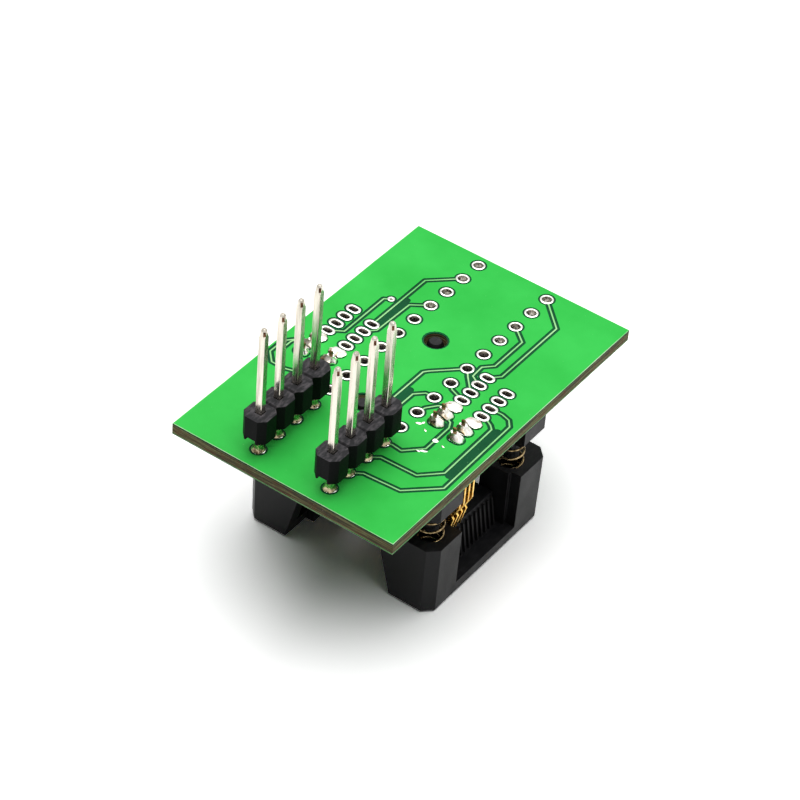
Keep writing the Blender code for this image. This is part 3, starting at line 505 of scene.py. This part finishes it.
def link_as_is(name, shape, materials, smooth_angle=SMOOTH_ANGLE):
    """Turns a bmesh whose faces already point the right way into a named object."""
    mesh = bpy.data.meshes.new(name)
    shape.to_mesh(mesh)
    shape.free()
    for material in materials:
        mesh.materials.append(material)
    mesh.shade_smooth()
    mesh.set_sharp_from_angle(angle=smooth_angle)
    piece = bpy.data.objects.new(name, mesh)
    bpy.context.scene.collection.objects.link(piece)
    return piece


def settle(piece, slot, *nodes, body=ROOT_BODY):
    """Puts a piece on the body that it rides on and hides the nodes that it stands for; slot is not used."""
    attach(piece, body)
    if nodes:
        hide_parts(*nodes)
    return piece


def add_rings(shape, rings, close_ends=False, wrap=False):
    """Joins closed loops of equal point count by bands of faces, and gives the bands back."""
    loops = [[shape.verts.new(point) for point in ring] for ring in rings]
    pairs = list(zip(loops, loops[1:]))
    if wrap:
        pairs.append((loops[-1], loops[0]))
    bands = []
    for lower, upper in pairs:
        band = []
        for index in range(len(lower)):
            following = (index + 1) % len(lower)
            band.append(shape.faces.new((lower[index], lower[following], upper[following], upper[index])))
        bands.append(band)
    if close_ends:
        shape.faces.new(list(reversed(loops[0])))
        shape.faces.new(loops[-1])
    return bands


def bare_mesh(node):
    """A bmesh of a node's own solid with its flat faces whole and without its packed normals."""
    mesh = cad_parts[node].data.copy()
    mesh.attributes.remove(mesh.attributes["custom_normal"])
    shape = bmesh.new()
    shape.from_mesh(mesh)
    bpy.data.meshes.remove(mesh)
    bmesh.ops.remove_doubles(shape, verts=shape.verts, dist=WELD_GAP)
    bmesh.ops.dissolve_limit(shape, angle_limit=FLAT_ANGLE, verts=shape.verts, edges=shape.edges)
    return shape


def round_edges(shape, edge, segments=2):
    """Rounds every real edge of a solid."""
    sharp = [e for e in shape.edges if e.is_manifold and e.calc_face_angle(0) > BEVEL_ANGLE]
    bmesh.ops.bevel(
        shape, geom=sharp, offset=edge, segments=segments, profile=EDGE_PROFILE, affect="EDGES",
        clamp_overlap=True,
    )


def slice_mesh(shape, place, direction, **clearing):
    """Cuts every face where a plane crosses it, and gives back the edges and points on the plane."""
    geometry = list(shape.verts) + list(shape.edges) + list(shape.faces)
    cut = bmesh.ops.bisect_plane(shape, geom=geometry, plane_co=place, plane_no=direction, **clearing)
    return cut["geom_cut"]


def keep_part(shape, height, above):
    """Keeps the part of a closed mesh above or below a level, and closes the cut."""
    cut = slice_mesh(shape, (0, 0, height), UP, clear_inner=above, clear_outer=not above)
    rim = [item for item in cut if isinstance(item, bmesh.types.BMEdge)]
    bmesh.ops.contextual_create(shape, geom=rim)


def long_slide(angle, reach):
    """How far a round outline's point at an angle moves along x to make the outline long."""
    return reach * max(-1.0, min(1.0, LONG_STEEPNESS * math.cos(angle)))


# Places on the board

def grid_place(side, index):
    """Plan place of a header hole, counted from the front."""
    first = FIRST_PIN[side]
    return Vector((first.x, first.y + index * PIN_PITCH))


def tail_place(side, index):
    """Plan place of a contact's tail, counted from the front like the contacts' names."""
    first = FIRST_TAIL[side]
    second = SECOND_TAIL[side]
    x = first.x if index % 2 == 0 else second.x
    return Vector((x, first.y + index * CONTACT_PITCH))


def from_back(side, index):
    """Plan place of a contact's tail, counted from the back."""
    return tail_place(side, CONTACT_POSITIONS - 1 - index)


def plan(x, y):
    """A plan point that is given in millimetres from the middle of the pin grid."""
    return Vector((GRID_X + x * MM, GRID_Y + y * MM))


def capsule(start, end, radius):
    """A straight shape with round ends, as numbers."""
    return (start[0], start[1], end[0], end[1], radius)


def drilled(grid_radius, tail_radius, tail_reach):
    """Outlines of all header holes or pads and all contact holes or pads."""
    shapes = []
    reach = Vector((tail_reach, 0))
    for side in SIDES:
        for index in range(HOLES_A_ROW):
            place = grid_place(side, index)
            shapes.append(capsule(place, place, grid_radius))
        for index in range(CONTACT_POSITIONS):
            place = tail_place(side, index)
            shapes.append(capsule(place - reach, place + reach, tail_radius))
    return shapes


def pad_capsules():
    """Outlines of every pad on the board."""
    via = plan(*VIA_PLACE)
    return drilled(GRID_PAD_RADIUS, TAIL_PAD_RADIUS, TAIL_PAD_REACH) + [capsule(via, via, VIA_PAD_RADIUS)]


def peg_holes():
    """Outlines of the two plain holes that the locating pegs sit in."""
    return [capsule(plan(*place), plan(*place), PEG_HOLE_RADIUS) for place in PEG_PLACES]


def hole_capsules():
    """Outlines of every hole through the board."""
    via = plan(*VIA_PLACE)
    holes = drilled(GRID_HOLE_RADIUS, TAIL_HOLE_RADIUS, TAIL_HOLE_REACH)
    return holes + peg_holes() + [capsule(via, via, VIA_HOLE_RADIUS)]


# Tracks

def top_routes():
    """Tracks on the upper side, which run from pad to pad or end in the open."""
    return [
        [grid_place("left", 12), plan(-6.29, 11.5), plan(-6.28, 3.6), from_back("left", 1)],
        [grid_place("left", 10), plan(-5.35, 7.7), plan(-5.47, 2.9), from_back("left", 3)],
        [plan(*VIA_PLACE), plan(-7.63, 6.9), plan(-7.6, 0.9), from_back("left", 6)],
        [grid_place("right", 13), plan(6.81, 13.6), plan(6.79, 4.9), from_back("right", 0)],
        [
            grid_place("right", 11), plan(5.5, 10.0), plan(5.5, 5.7), plan(4.68, 4.8), plan(4.76, 3.3),
            from_back("right", 2),
        ],
        [grid_place("right", 8), plan(4.5, 2.9), from_back("right", 4)],
        [grid_place("right", 7), plan(4.4, 0.6), from_back("right", 6)],
        [grid_place("right", 5), plan(4.0, -2.9), plan(4.7, -1.94), from_back("right", 8)],
        [grid_place("right", 8), plan(1.35, 1.3), plan(1.06, 0.9), plan(1.06, -8.0), plan(2.2, -9.2)],
        [grid_place("right", 6), plan(2.9, -1.27), plan(2.1, -2.1), plan(2.07, -7.0)],
        [
            from_back("right", 10), plan(6.8, -3.05), plan(7.12, -3.7), plan(7.15, -7.2), plan(5.67, -8.77),
            plan(4.61, -8.66), grid_place("right", 3),
        ],
        [
            from_back("right", 7), plan(9.08, -0.75), plan(9.7, -1.1), plan(10.1, -1.5), plan(10.2, -8.69),
            plan(8.5, -10.47), plan(4.83, -10.6), grid_place("right", 2),
        ],
        [
            from_back("right", 5), plan(9.68, 0.73), plan(10.55, 0.49), plan(11.1, -0.2),
            plan(11.25, -10.3), plan(8.56, -12.92), plan(4.9, -13.2), grid_place("right", 1),
        ],
        [
            plan(-9.9, -2.4), plan(-11.0, -3.7), plan(-11.0, -5.6), plan(-10.0, -6.65), plan(-8.6, -6.65),
            plan(-7.7, -6.35), plan(-5.2, -6.35), grid_place("left", 4),
        ],
        [from_back("left", 10), plan(-10.0, -2.6), plan(-10.4, -3.3), plan(-10.4, -5.0)],
    ]


def top_strips():
    """Outlines of narrow strips between close tracks that hold no copper."""
    return [
        capsule(plan(-5.86, 8.1), plan(-5.86, 3.4), 0.32 * MM),
        capsule(plan(10.66, -1.5), plan(10.72, -8.7), 0.42 * MM),
        capsule(plan(1.56, -1.85), plan(1.56, -7.0), 0.4 * MM),
    ]


def bottom_routes():
    """Tracks on the lower side, which carry the lines that the upper side doesn't."""
    routes = []
    for side, sign in SIDES.items():
        for step in range(LOWER_LANES):
            lane = sign * (FIRST_LANE + LANE_STEP * step)
            start, end = BACK_LANE
            hole = grid_place(side, BACK_HOLE + step)
            bends = [plan(lane, start - LANE_STEP * step), plan(lane, end)]
            routes.append([hole, *bends, from_back(side, BACK_CONTACT + 2 * step)])
            bends = [plan(lane, y) for y in FRONT_LANE]
            routes.append([grid_place(side, step), *bends, from_back(side, FRONT_CONTACT - 2 * step)])
    return routes


def route_capsules(routes, radius):
    """Splits routes into capsules."""
    return [capsule(start, end, radius) for route in routes for start, end in zip(route, route[1:])]


# Circuit board

def capsule_outline(shape, grow):
    """Points round a capsule that is grown by a margin."""
    ax, ay, bx, by, radius = shape
    heading = math.atan2(by - ay, bx - ax)
    points = []
    for x, y, start in ((bx, by, heading - math.pi / 2), (ax, ay, heading + math.pi / 2)):
        for step in range(ARC_STEPS + 1):
            angle = start + math.pi * step / ARC_STEPS
            points.append((x + (radius + grow) * math.cos(angle), y + (radius + grow) * math.sin(angle)))
    return points


def gap_to(points, shapes):
    """Gap from each plan point to the nearest capsule, less than zero inside one."""
    values = np.array(shapes)
    starts = values[:, 0:2]
    reach = values[:, 2:4] - starts
    squared = np.maximum((reach**2).sum(1), LEAST_SQUARE)
    offset = points[:, None, :] - starts[None]
    share = np.clip((offset * reach).sum(2) / squared, 0, 1)
    distance = np.linalg.norm(offset - share[..., None] * reach, axis=2)
    return (distance - values[:, 4]).min(1)


def border_gap(points):
    """Gap from each plan point to the board's edge."""
    across = np.minimum(points[:, 0] - BOARD_LOW.x, BOARD_HIGH.x - points[:, 0])
    along = np.minimum(points[:, 1] - BOARD_LOW.y, BOARD_HIGH.y - points[:, 1])
    return np.minimum(across, along)


def copper_share(points, conductors, clearances):
    """How much of the copper's height each plan point has, from 0 in a groove to 1 on copper."""
    on_conductor = np.clip(1 - gap_to(points, conductors) / COPPER_SLOPE, 0, 1)
    on_pour = np.clip(1 + gap_to(points, clearances) / COPPER_SLOPE, 0, 1)
    return np.maximum(on_conductor, on_pour)


def grown(shapes, margin):
    """Capsules with a margin added all round."""
    return [(*shape[:4], shape[4] + margin) for shape in shapes]


def finish_of(points, tracks, clearances):
    """Which mask finish lies on each plan point: tracks take the light green of painted sheen, and a strip
    along the edge takes a painted highlight.
    """
    finish = np.where(gap_to(points, clearances) > 0, COPPER, BARE)
    finish[gap_to(points, tracks) < 0] = TRACK_SHEEN
    finish[border_gap(points) < HIGHLIGHT_RIM_WIDTH] = RIM_HIGHLIGHT
    return finish


def rectangle_outline(inset):
    """The board's outline, drawn in by a margin."""
    low_x, high_x = BOARD_LOW.x + inset, BOARD_HIGH.x - inset
    low_y, high_y = BOARD_LOW.y + inset, BOARD_HIGH.y - inset
    return [(low_x, low_y), (high_x, low_y), (high_x, high_y), (low_x, high_y)]


def relief_outlines(conductors, clearances):
    """Every closed line at which one side's relief changes."""
    outlines = []
    for shape in conductors:
        outlines += [capsule_outline(shape, 0), capsule_outline(shape, COPPER_SLOPE)]
    for shape in clearances:
        outlines += [capsule_outline(shape, 0), capsule_outline(shape, -COPPER_SLOPE)]
    return outlines


def triangulate(outlines, holes):
    """Plan triangles that follow every outline, inside the board and outside its holes."""
    points = []
    edges = []
    for outline in outlines:
        first = len(points)
        count = len(outline)
        points += [Vector((x / MM, y / MM)) for x, y in outline]
        edges += [(first + step, first + (step + 1) % count) for step in range(count)]
    found, _, triangles, *_ = delaunay_2d_cdt(points, edges, [], 1, CDT_TOLERANCE)
    places = np.array([point[:] for point in found]) * MM
    corners = np.array(triangles)
    middles = places[corners].mean(1)
    return places, corners[(border_gap(middles) > 0) & (gap_to(middles, holes) > 0)]


def open_edges(triangles):
    """Edges that only one triangle has, in that triangle's own direction."""
    edges = {(int(a), int(b)) for t in triangles for a, b in ((t[0], t[1]), (t[1], t[2]), (t[2], t[0]))}
    return sorted((a, b) for a, b in edges if (b, a) not in edges)


def side_copper(routes, strips, pads):
    """Tracks of one side of the board, and the outlines that its copper pour keeps clear of."""
    tracks = route_capsules(routes, TRACK_HALF_WIDTH)
    round_copper = grown(pads, PAD_ISOLATION) + grown(tracks, TRACK_ISOLATION)
    return tracks, round_copper + strips + grown(peg_holes(), PEG_ISOLATION)


def add_sheet(shape, places, triangles, pads, level, direction, tracks, clearances):
    """Adds one side of the board, which faces up or down, and gives its points back."""
    share = copper_share(places, pads + tracks, clearances)
    heights = level - direction * COPPER_HEIGHT * (1 - share)
    verts = [shape.verts.new((x, y, z)) for (x, y), z in zip(places, heights)]
    finishes = finish_of(places[triangles].mean(1), tracks, clearances)
    for corners, finish in zip(triangles[:, ::direction], finishes):
        face = shape.faces.new([verts[corner] for corner in corners])
        face.material_index = int(finish)
    return verts


def add_board_walls(shape, boundary, top_verts, bottom_verts, places):
    """Closes the board's outside and its holes with three bands: mask, laminate, and mask in the tracks'
    light green of painted sheen.
    """
    levels = (BOARD_TOP - MASK_BAND, BOARD_BOTTOM + MASK_BAND)
    rings = {}
    for vertex in {vertex for edge in boundary for vertex in edge}:
        x, y = places[vertex]
        between = [shape.verts.new((x, y, z)) for z in levels]
        rings[vertex] = [top_verts[vertex], *between, bottom_verts[vertex]]
    for a, b in boundary:
        for band, finish in enumerate((BARE, LAMINATE, TRACK_SHEEN)):
            face = shape.faces.new((rings[a][band], rings[a][band + 1], rings[b][band + 1], rings[b][band]))
            face.material_index = finish


def make_board(materials):
    """The board: copper relief under green mask on both sides, drilled and cut from laminate."""
    pads = pad_capsules()
    holes = hole_capsules()
    sides = [
        (BOARD_TOP, 1, *side_copper(top_routes(), top_strips(), pads)),
        (BOARD_BOTTOM, -1, *side_copper(bottom_routes(), [], pads)),
    ]
    outlines = [rectangle_outline(0), rectangle_outline(HIGHLIGHT_RIM_WIDTH)]
    outlines += [capsule_outline(shape, 0) for shape in holes]
    for _, _, tracks, clearances in sides:
        outlines += relief_outlines(pads + tracks, clearances)
    places, triangles = triangulate(outlines, holes)

    shape = bmesh.new()
    sheets = [add_sheet(shape, places, triangles, pads, *side) for side in sides]
    add_board_walls(shape, open_edges(triangles), *sheets, places)
    bmesh.ops.delete(shape, geom=[v for v in shape.verts if not v.link_faces], context="VERTS")
    board = link_as_is("circuit_board_detail", shape, [materials[name] for name in BOARD_FINISHES])
    board.data.shade_flat()
    settle(board, "board", "circuit_board")


# Plated pads

def pad_ring(place, pad_radius, reach, hole_radius, hole_reach):
    """Loops of a plated hole with a pad on both sides of the board, out, over and through."""
    inner = hole_radius - PLATING
    crown = (pad_radius + inner) / 2
    levels = [
        (pad_radius, reach, BOARD_TOP - COPPER_HEIGHT),
        (pad_radius, reach, BOARD_TOP + PAD_EDGE / 2),
        (pad_radius - PAD_EDGE, reach, BOARD_TOP + PAD_EDGE),
        (crown, (reach + hole_reach) / 2, BOARD_TOP + PAD_HEIGHT),
        (inner + PAD_EDGE, hole_reach, BOARD_TOP + PAD_EDGE),
        (inner, hole_reach, BOARD_TOP - PAD_EDGE),
    ]
    middle = (BOARD_TOP + BOARD_BOTTOM) / 2
    levels += [(radius, stretch, 2 * middle - z) for radius, stretch, z in reversed(levels)]
    buried = (BOARD_BOTTOM + COPPER_HEIGHT, BOARD_TOP - COPPER_HEIGHT)
    levels += [(hole_radius, hole_reach, z) for z in buried]
    angles = [2 * math.pi * step / PAD_STEPS for step in range(PAD_STEPS)]
    rings = []
    for radius, stretch, z in levels:
        ring = []
        for angle in angles:
            x = place.x + long_slide(angle, stretch) + radius * math.cos(angle)
            ring.append((x, place.y + radius * math.sin(angle), z))
        rings.append(ring)
    return rings


def add_pad(shape, rings):
    """Adds a plated hole, whose barrel is duller than its pads."""
    bands = add_rings(shape, rings, wrap=True)
    barrel = bands[len(rings) // 2 - 2]
    for face in barrel:
        face.material_index = SECOND_FINISH


def make_pads(materials):
    """The tinned pads and plated walls of every hole."""
    grid = bmesh.new()
    tails = bmesh.new()
    for side in SIDES:
        for index in range(HOLES_A_ROW):
            add_pad(grid, pad_ring(grid_place(side, index), GRID_PAD_RADIUS, 0, GRID_HOLE_RADIUS, 0))
        for index in range(CONTACT_POSITIONS):
            place = tail_place(side, index)
            rings = pad_ring(place, TAIL_PAD_RADIUS, TAIL_PAD_REACH, TAIL_HOLE_RADIUS, TAIL_HOLE_REACH)
            add_pad(tails, rings)
    add_pad(grid, pad_ring(plan(*VIA_PLACE), VIA_PAD_RADIUS, 0, VIA_HOLE_RADIUS, 0))
    finishes = [materials["pad_tin"], materials["hole_barrel"]]
    settle(link_mesh("grid_pads", grid, finishes), "solder")
    settle(link_mesh("contact_pads", tails, finishes), "solder")


# Solder joints

def make_joint(name, place, profile, material, swell, seed, reach=0, lean=0):
    """A solder joint with a profile of (radius, height), drawn long across the board, leaning and uneven."""
    levels = [(radius * MM, height * MM) for radius, height in profile]
    foot_radius = levels[0][0]
    full_height = levels[-1][1]
    shape = bmesh.new()
    rings = []
    for radius, height in levels:
        ring = []
        for step in range(JOINT_STEPS):
            angle = 2 * math.pi * step / JOINT_STEPS
            out = Vector((math.cos(angle), math.sin(angle), height / MM))
            reached = radius * (1 + swell * noise.noise(out * SWELL_GRAIN + Vector((seed, 0, 0))))
            slide = long_slide(angle, reach) * min(1.0, radius / foot_radius)
            x = place.x + slide + lean * height / full_height + reached * math.cos(angle)
            ring.append((x, place.y + reached * math.sin(angle), BOARD_TOP + height))
        rings.append(ring)
    add_rings(shape, rings, close_ends=True)
    return settle(link_mesh(f"{name}_detail", shape, [material]), "solder", name)


def make_header_solder(materials):
    """The small concave cones of solder at the header pins' feet."""
    material = materials["header_solder"]
    for side in SIDES:
        for index in range(HEADER_PINS):
            name = f"header_solder_{side}_{index + 1}"
            place = grid_place(side, index)
            make_joint(name, place, HEADER_CONE, material, HEADER_SWELL, HEADER_SEED * index)


def make_contact_solder(materials):
    """The uneven domes of solder at the contacts' tails, and the flatter ones on the filled pads behind."""
    material = materials["solder_joint"]
    for side, sign in SIDES.items():
        for index in range(SOLDERED_PADS):
            name = f"contact_solder_{side}_{index + 1}"
            is_fitted = index < FITTED_CONTACTS
            profile = CONTACT_DOME if is_fitted else FILLED_PAD
            lean = -sign * TAIL_INSET if is_fitted else 0
            seed = CONTACT_SEED * index + sign * SIDE_SEED
            place = tail_place(side, index)
            make_joint(name, place, profile, material, CONTACT_SWELL, seed, SOLDER_REACH, lean)


def make_splashes(materials):
    """The small splashes of solder that lie on the board in front of the right-hand contacts."""
    noise.seed_set(SPLASH_SEED)
    shape = bmesh.new()
    for x, y, half_length, half_width, turn in SPLASHES:
        place = plan(x, y)
        matrix = (
            Matrix.Translation((place.x, place.y, BOARD_TOP))
            @ Matrix.Rotation(math.radians(turn), 4, "Z")
            @ Matrix.Diagonal((half_length * MM, half_width * MM, SPLASH_HEIGHT, 1))
        )
        bmesh.ops.create_icosphere(shape, subdivisions=3, radius=1, matrix=matrix)
    for vertex in shape.verts:
        vertex.co.xy += SPLASH_DRIFT * noise.noise_vector(vertex.co / SPLASH_GRAIN).xy
    settle(link_mesh("solder_splashes", shape, [materials["solder_joint"]]), "solder")


# Header strips

def square_ring(middle, half, cut_share, z):
    """A square outline with broken corners."""
    cut = half * cut_share
    corners = [
        (half, -half + cut), (half, half - cut), (half - cut, half), (-half + cut, half),
        (-half, half - cut), (-half, -half + cut), (-half + cut, -half), (half - cut, -half),
    ]
    return [(middle.x + x, middle.y + y, z) for x, y in corners]


def make_pins(materials):
    """The square header pins, with broken edges and a chamfered tip that is bare metal on one side."""
    finishes = [materials["pin_tin"], materials["pin_bare"]]
    for side in SIDES:
        for index in range(HEADER_PINS):
            name = f"header_pin_{side}_{index + 1}"
            low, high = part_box(name)
            middle = (low + high) / 2
            half = (high.x - low.x) / 2
            levels = [(low.z + rise * MM, share, cut) for rise, share, cut in PIN_FOOT]
            levels += [(high.z - drop * MM, share, cut) for drop, share, cut in PIN_TIP]
            shape = bmesh.new()
            rings = [square_ring(middle, half * share, cut, z) for z, share, cut in levels]
            bands = add_rings(shape, rings, close_ends=True)
            bands[BARE_BAND][BARE_SIDE].material_index = SECOND_FINISH
            settle(link_mesh(f"{name}_detail", shape, finishes), "header_pin", name)


def groove_top(shape, y, top):
    """Presses a V groove across a strip's top face."""
    for place in (y - GROOVE_HALF_WIDTH, y, y + GROOVE_HALF_WIDTH):
        slice_mesh(shape, (0, place, 0), (0, 1, 0))
    for vertex in shape.verts:
        if abs(vertex.co.y - y) < TOLERANCE and abs(vertex.co.z - top) < TOLERANCE:
            vertex.co.z -= GROOVE_DEPTH


def make_housings(materials):
    """The two header housings, with softened moulded edges and a groove between each two blocks."""
    for side in SIDES:
        name = f"header_housing_{side}"
        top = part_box(name)[1].z
        shape = bare_mesh(name)
        for index in range(HEADER_PINS - 1):
            groove_top(shape, grid_place(side, index).y + PIN_PITCH / 2, top)
        round_edges(shape, MOULD_EDGE)
        piece = link_mesh(f"{name}_detail", shape, [materials["header_black"]], MOULD_SMOOTH_ANGLE)
        settle(piece, "header_plastic", name)


# Socket

def taper_pegs(shape, top):
    """Draws in the tips of the two locating pegs."""
    slice_mesh(shape, (0, 0, top - PEG_TIP_LENGTH), UP)
    middles = [plan(*place) for place in PEG_PLACES]
    for vertex in shape.verts:
        if top - vertex.co.z < TOLERANCE:
            middle = min(middles, key=lambda place: (place - vertex.co.xy).length)
            vertex.co.xy = middle + (vertex.co.xy - middle) * PEG_TIP_SHARE


def make_socket(materials):
    """The socket's base and press cover, with softened moulded edges."""
    for name, body in (("socket_base", ROOT_BODY), ("socket_cover", COVER_BODY)):
        shape = bare_mesh(name)
        if name == "socket_base":
            taper_pegs(shape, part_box(name)[1].z)
        round_edges(shape, MOULD_EDGE, segments=1)
        piece = link_mesh(f"{name}_detail", shape, [materials["socket_black"]], MOULD_SMOOTH_ANGLE)
        settle(piece, "socket_plastic", name, body=body)


def wire_loop(centre, out):
    """Points round a spring's wire, where out is the way from the coil's middle."""
    turns = [2 * math.pi * side / WIRE_SIDES for side in range(WIRE_SIDES)]
    return [centre + WIRE_RADIUS * (math.cos(turn) * out + math.sin(turn) * Vector(UP)) for turn in turns]


def spring_rings(low, high):
    """Loops of wire along a coil that fills a box, with its end turns drawn close."""
    middle = (low + high) / 2
    radius = (high.x - low.x) / 2 - WIRE_RADIUS
    rise = high.z - low.z - 2 * WIRE_RADIUS
    steps = SPRING_TURNS * TURN_STEPS
    rings = []
    for step in range(steps + 1):
        share = step / steps
        angle = 2 * math.pi * SPRING_TURNS * share
        closing = END_CLOSING * math.sin(2 * math.pi * share) * math.cos(math.pi * share) ** 2
        height = low.z + WIRE_RADIUS + rise * (share - closing)
        out = Vector((math.cos(angle), math.sin(angle), 0))
        rings.append(wire_loop(Vector((middle.x, middle.y, height)) + radius * out, out))
    return rings


def make_springs(materials):
    """The four coil springs, which shorten as the cover is pressed."""
    for end in ENDS:
        for side in SIDES:
            name = f"spring_{end}_{side}"
            low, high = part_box(name)
            shape = bmesh.new()
            add_rings(shape, spring_rings(low, high), close_ends=True)
            piece = link_mesh(f"{name}_detail", shape, [materials["spring_wire"]])
            settle(piece, "spring_steel", name)
            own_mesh(piece)


def make_contacts(materials):
    """The stamped contacts: a fixed stem with its tail, and a leaf that opens as the cover is pressed."""
    gold = materials["contact_gold"]
    for side, sign in SIDES.items():
        for index in range(FITTED_CONTACTS):
            name = f"contact_{side}_{index + 1}"
            stem = bare_mesh(name)
            round_edges(stem, STAMP_EDGE, segments=1)
            leaf = stem.copy()
            keep_part(stem, LEAF_TOP, above=True)
            slice_mesh(stem, (0, 0, BOARD_BOTTOM), UP)
            for face in stem.faces:
                face.material_index = int(face.calc_center_median().z > BOARD_BOTTOM)
            piece = link_mesh(f"{name}_stem", stem, [gold, materials["contact_tail"]])
            settle(piece, "contact_gold", name)
            keep_part(leaf, LEAF_TOP, above=False)
            piece = settle(link_mesh(f"{name}_leaf", leaf, [gold]), "contact_gold", name)
            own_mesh(piece)


# Stage

def make_camera():
    """Puts the camera where the photo was taken from."""
    azimuth, elevation, roll = CAMERA_AZIMUTH, CAMERA_ELEVATION, CAMERA_ROLL
    level = math.cos(elevation)
    back = Vector((math.sin(azimuth) * level, -math.cos(azimuth) * level, math.sin(elevation)))
    right = Vector((math.cos(azimuth), math.sin(azimuth), 0))
    up = back.cross(right)
    rolled_right = right * math.cos(roll) + up * math.sin(roll)
    rolled_up = up * math.cos(roll) - right * math.sin(roll)
    camera = bpy.data.objects.new("camera", bpy.data.cameras.new("camera"))
    camera.data.lens = CAMERA_FOCAL_LENGTH
    camera.data.sensor_width = CAMERA_SENSOR
    camera.data.clip_start = CAMERA_NEAREST
    turn = Matrix((rolled_right, rolled_up, back)).transposed().to_4x4()
    camera.matrix_world = Matrix.Translation(CAMERA_TARGET + back * CAMERA_DISTANCE) @ turn
    bpy.context.scene.collection.objects.link(camera)
    bpy.context.scene.camera = camera


def add_light(name, place, size, power):
    """A soft square light that looks at the object."""
    light = bpy.data.lights.new(name, "AREA")
    light.size = size
    light.energy = power
    lamp = bpy.data.objects.new(name, light)
    lamp.location = place
    lamp.rotation_euler = (CAMERA_TARGET - Vector(place)).to_track_quat("-Z", "Y").to_euler()
    bpy.context.scene.collection.objects.link(lamp)


def level_when_seen(tree, unseen, seen):
    """One level for light that bounces on, and another for camera, glossy and transmission rays."""
    path = add_node(tree, "ShaderNodeLightPath")
    rays = [path.outputs[name] for name in ("Is Camera Ray", "Is Glossy Ray", "Is Transmission Ray")]
    is_seen = combine(tree, "MAXIMUM", combine(tree, "MAXIMUM", rays[0], rays[1]), rays[2])
    return number_range(tree, is_seen, unseen, seen, from_low=0.0, from_high=1.0)


def make_world():
    """Even sky light, which the camera and gloss see as white."""
    world = bpy.data.worlds.new("studio")
    bpy.context.scene.world = world
    world.use_nodes = True
    tree = world.node_tree
    background = tree.nodes["Background"]
    background.inputs["Color"].default_value = (1.0, 1.0, 1.0, 1.0)
    tree.links.new(level_when_seen(tree, SKY_LEVEL, 1.0), background.inputs["Strength"])


def make_floor():
    """A white table that keeps the object's soft shadow."""
    shape = bmesh.new()
    bmesh.ops.create_grid(shape, x_segments=1, y_segments=1, size=FLOOR_SIZE / 2)
    material, tree, shader = new_material("floor_white", roughness=0.9, specular=0.0)
    tree.links.new(level_when_seen(tree, FLOOR_COLOUR, FLOOR_SEEN), shader.inputs["Base Color"])
    link_mesh("floor", shape, [material])


def make_stage():
    """Camera, light, sky and floor."""
    make_camera()
    make_world()
    make_floor()
    add_light("softbox", LAMP_PLACE, LAMP_SIZE, LAMP_POWER)
    bpy.context.scene.view_settings.view_transform = "Standard"


def main():
    """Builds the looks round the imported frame."""
    make_stage()
    materials = make_materials()
    make_board(materials)
    make_pads(materials)
    make_header_solder(materials)
    make_contact_solder(materials)
    make_splashes(materials)
    make_pins(materials)
    make_housings(materials)
    make_socket(materials)
    make_springs(materials)
    make_contacts(materials)


main()
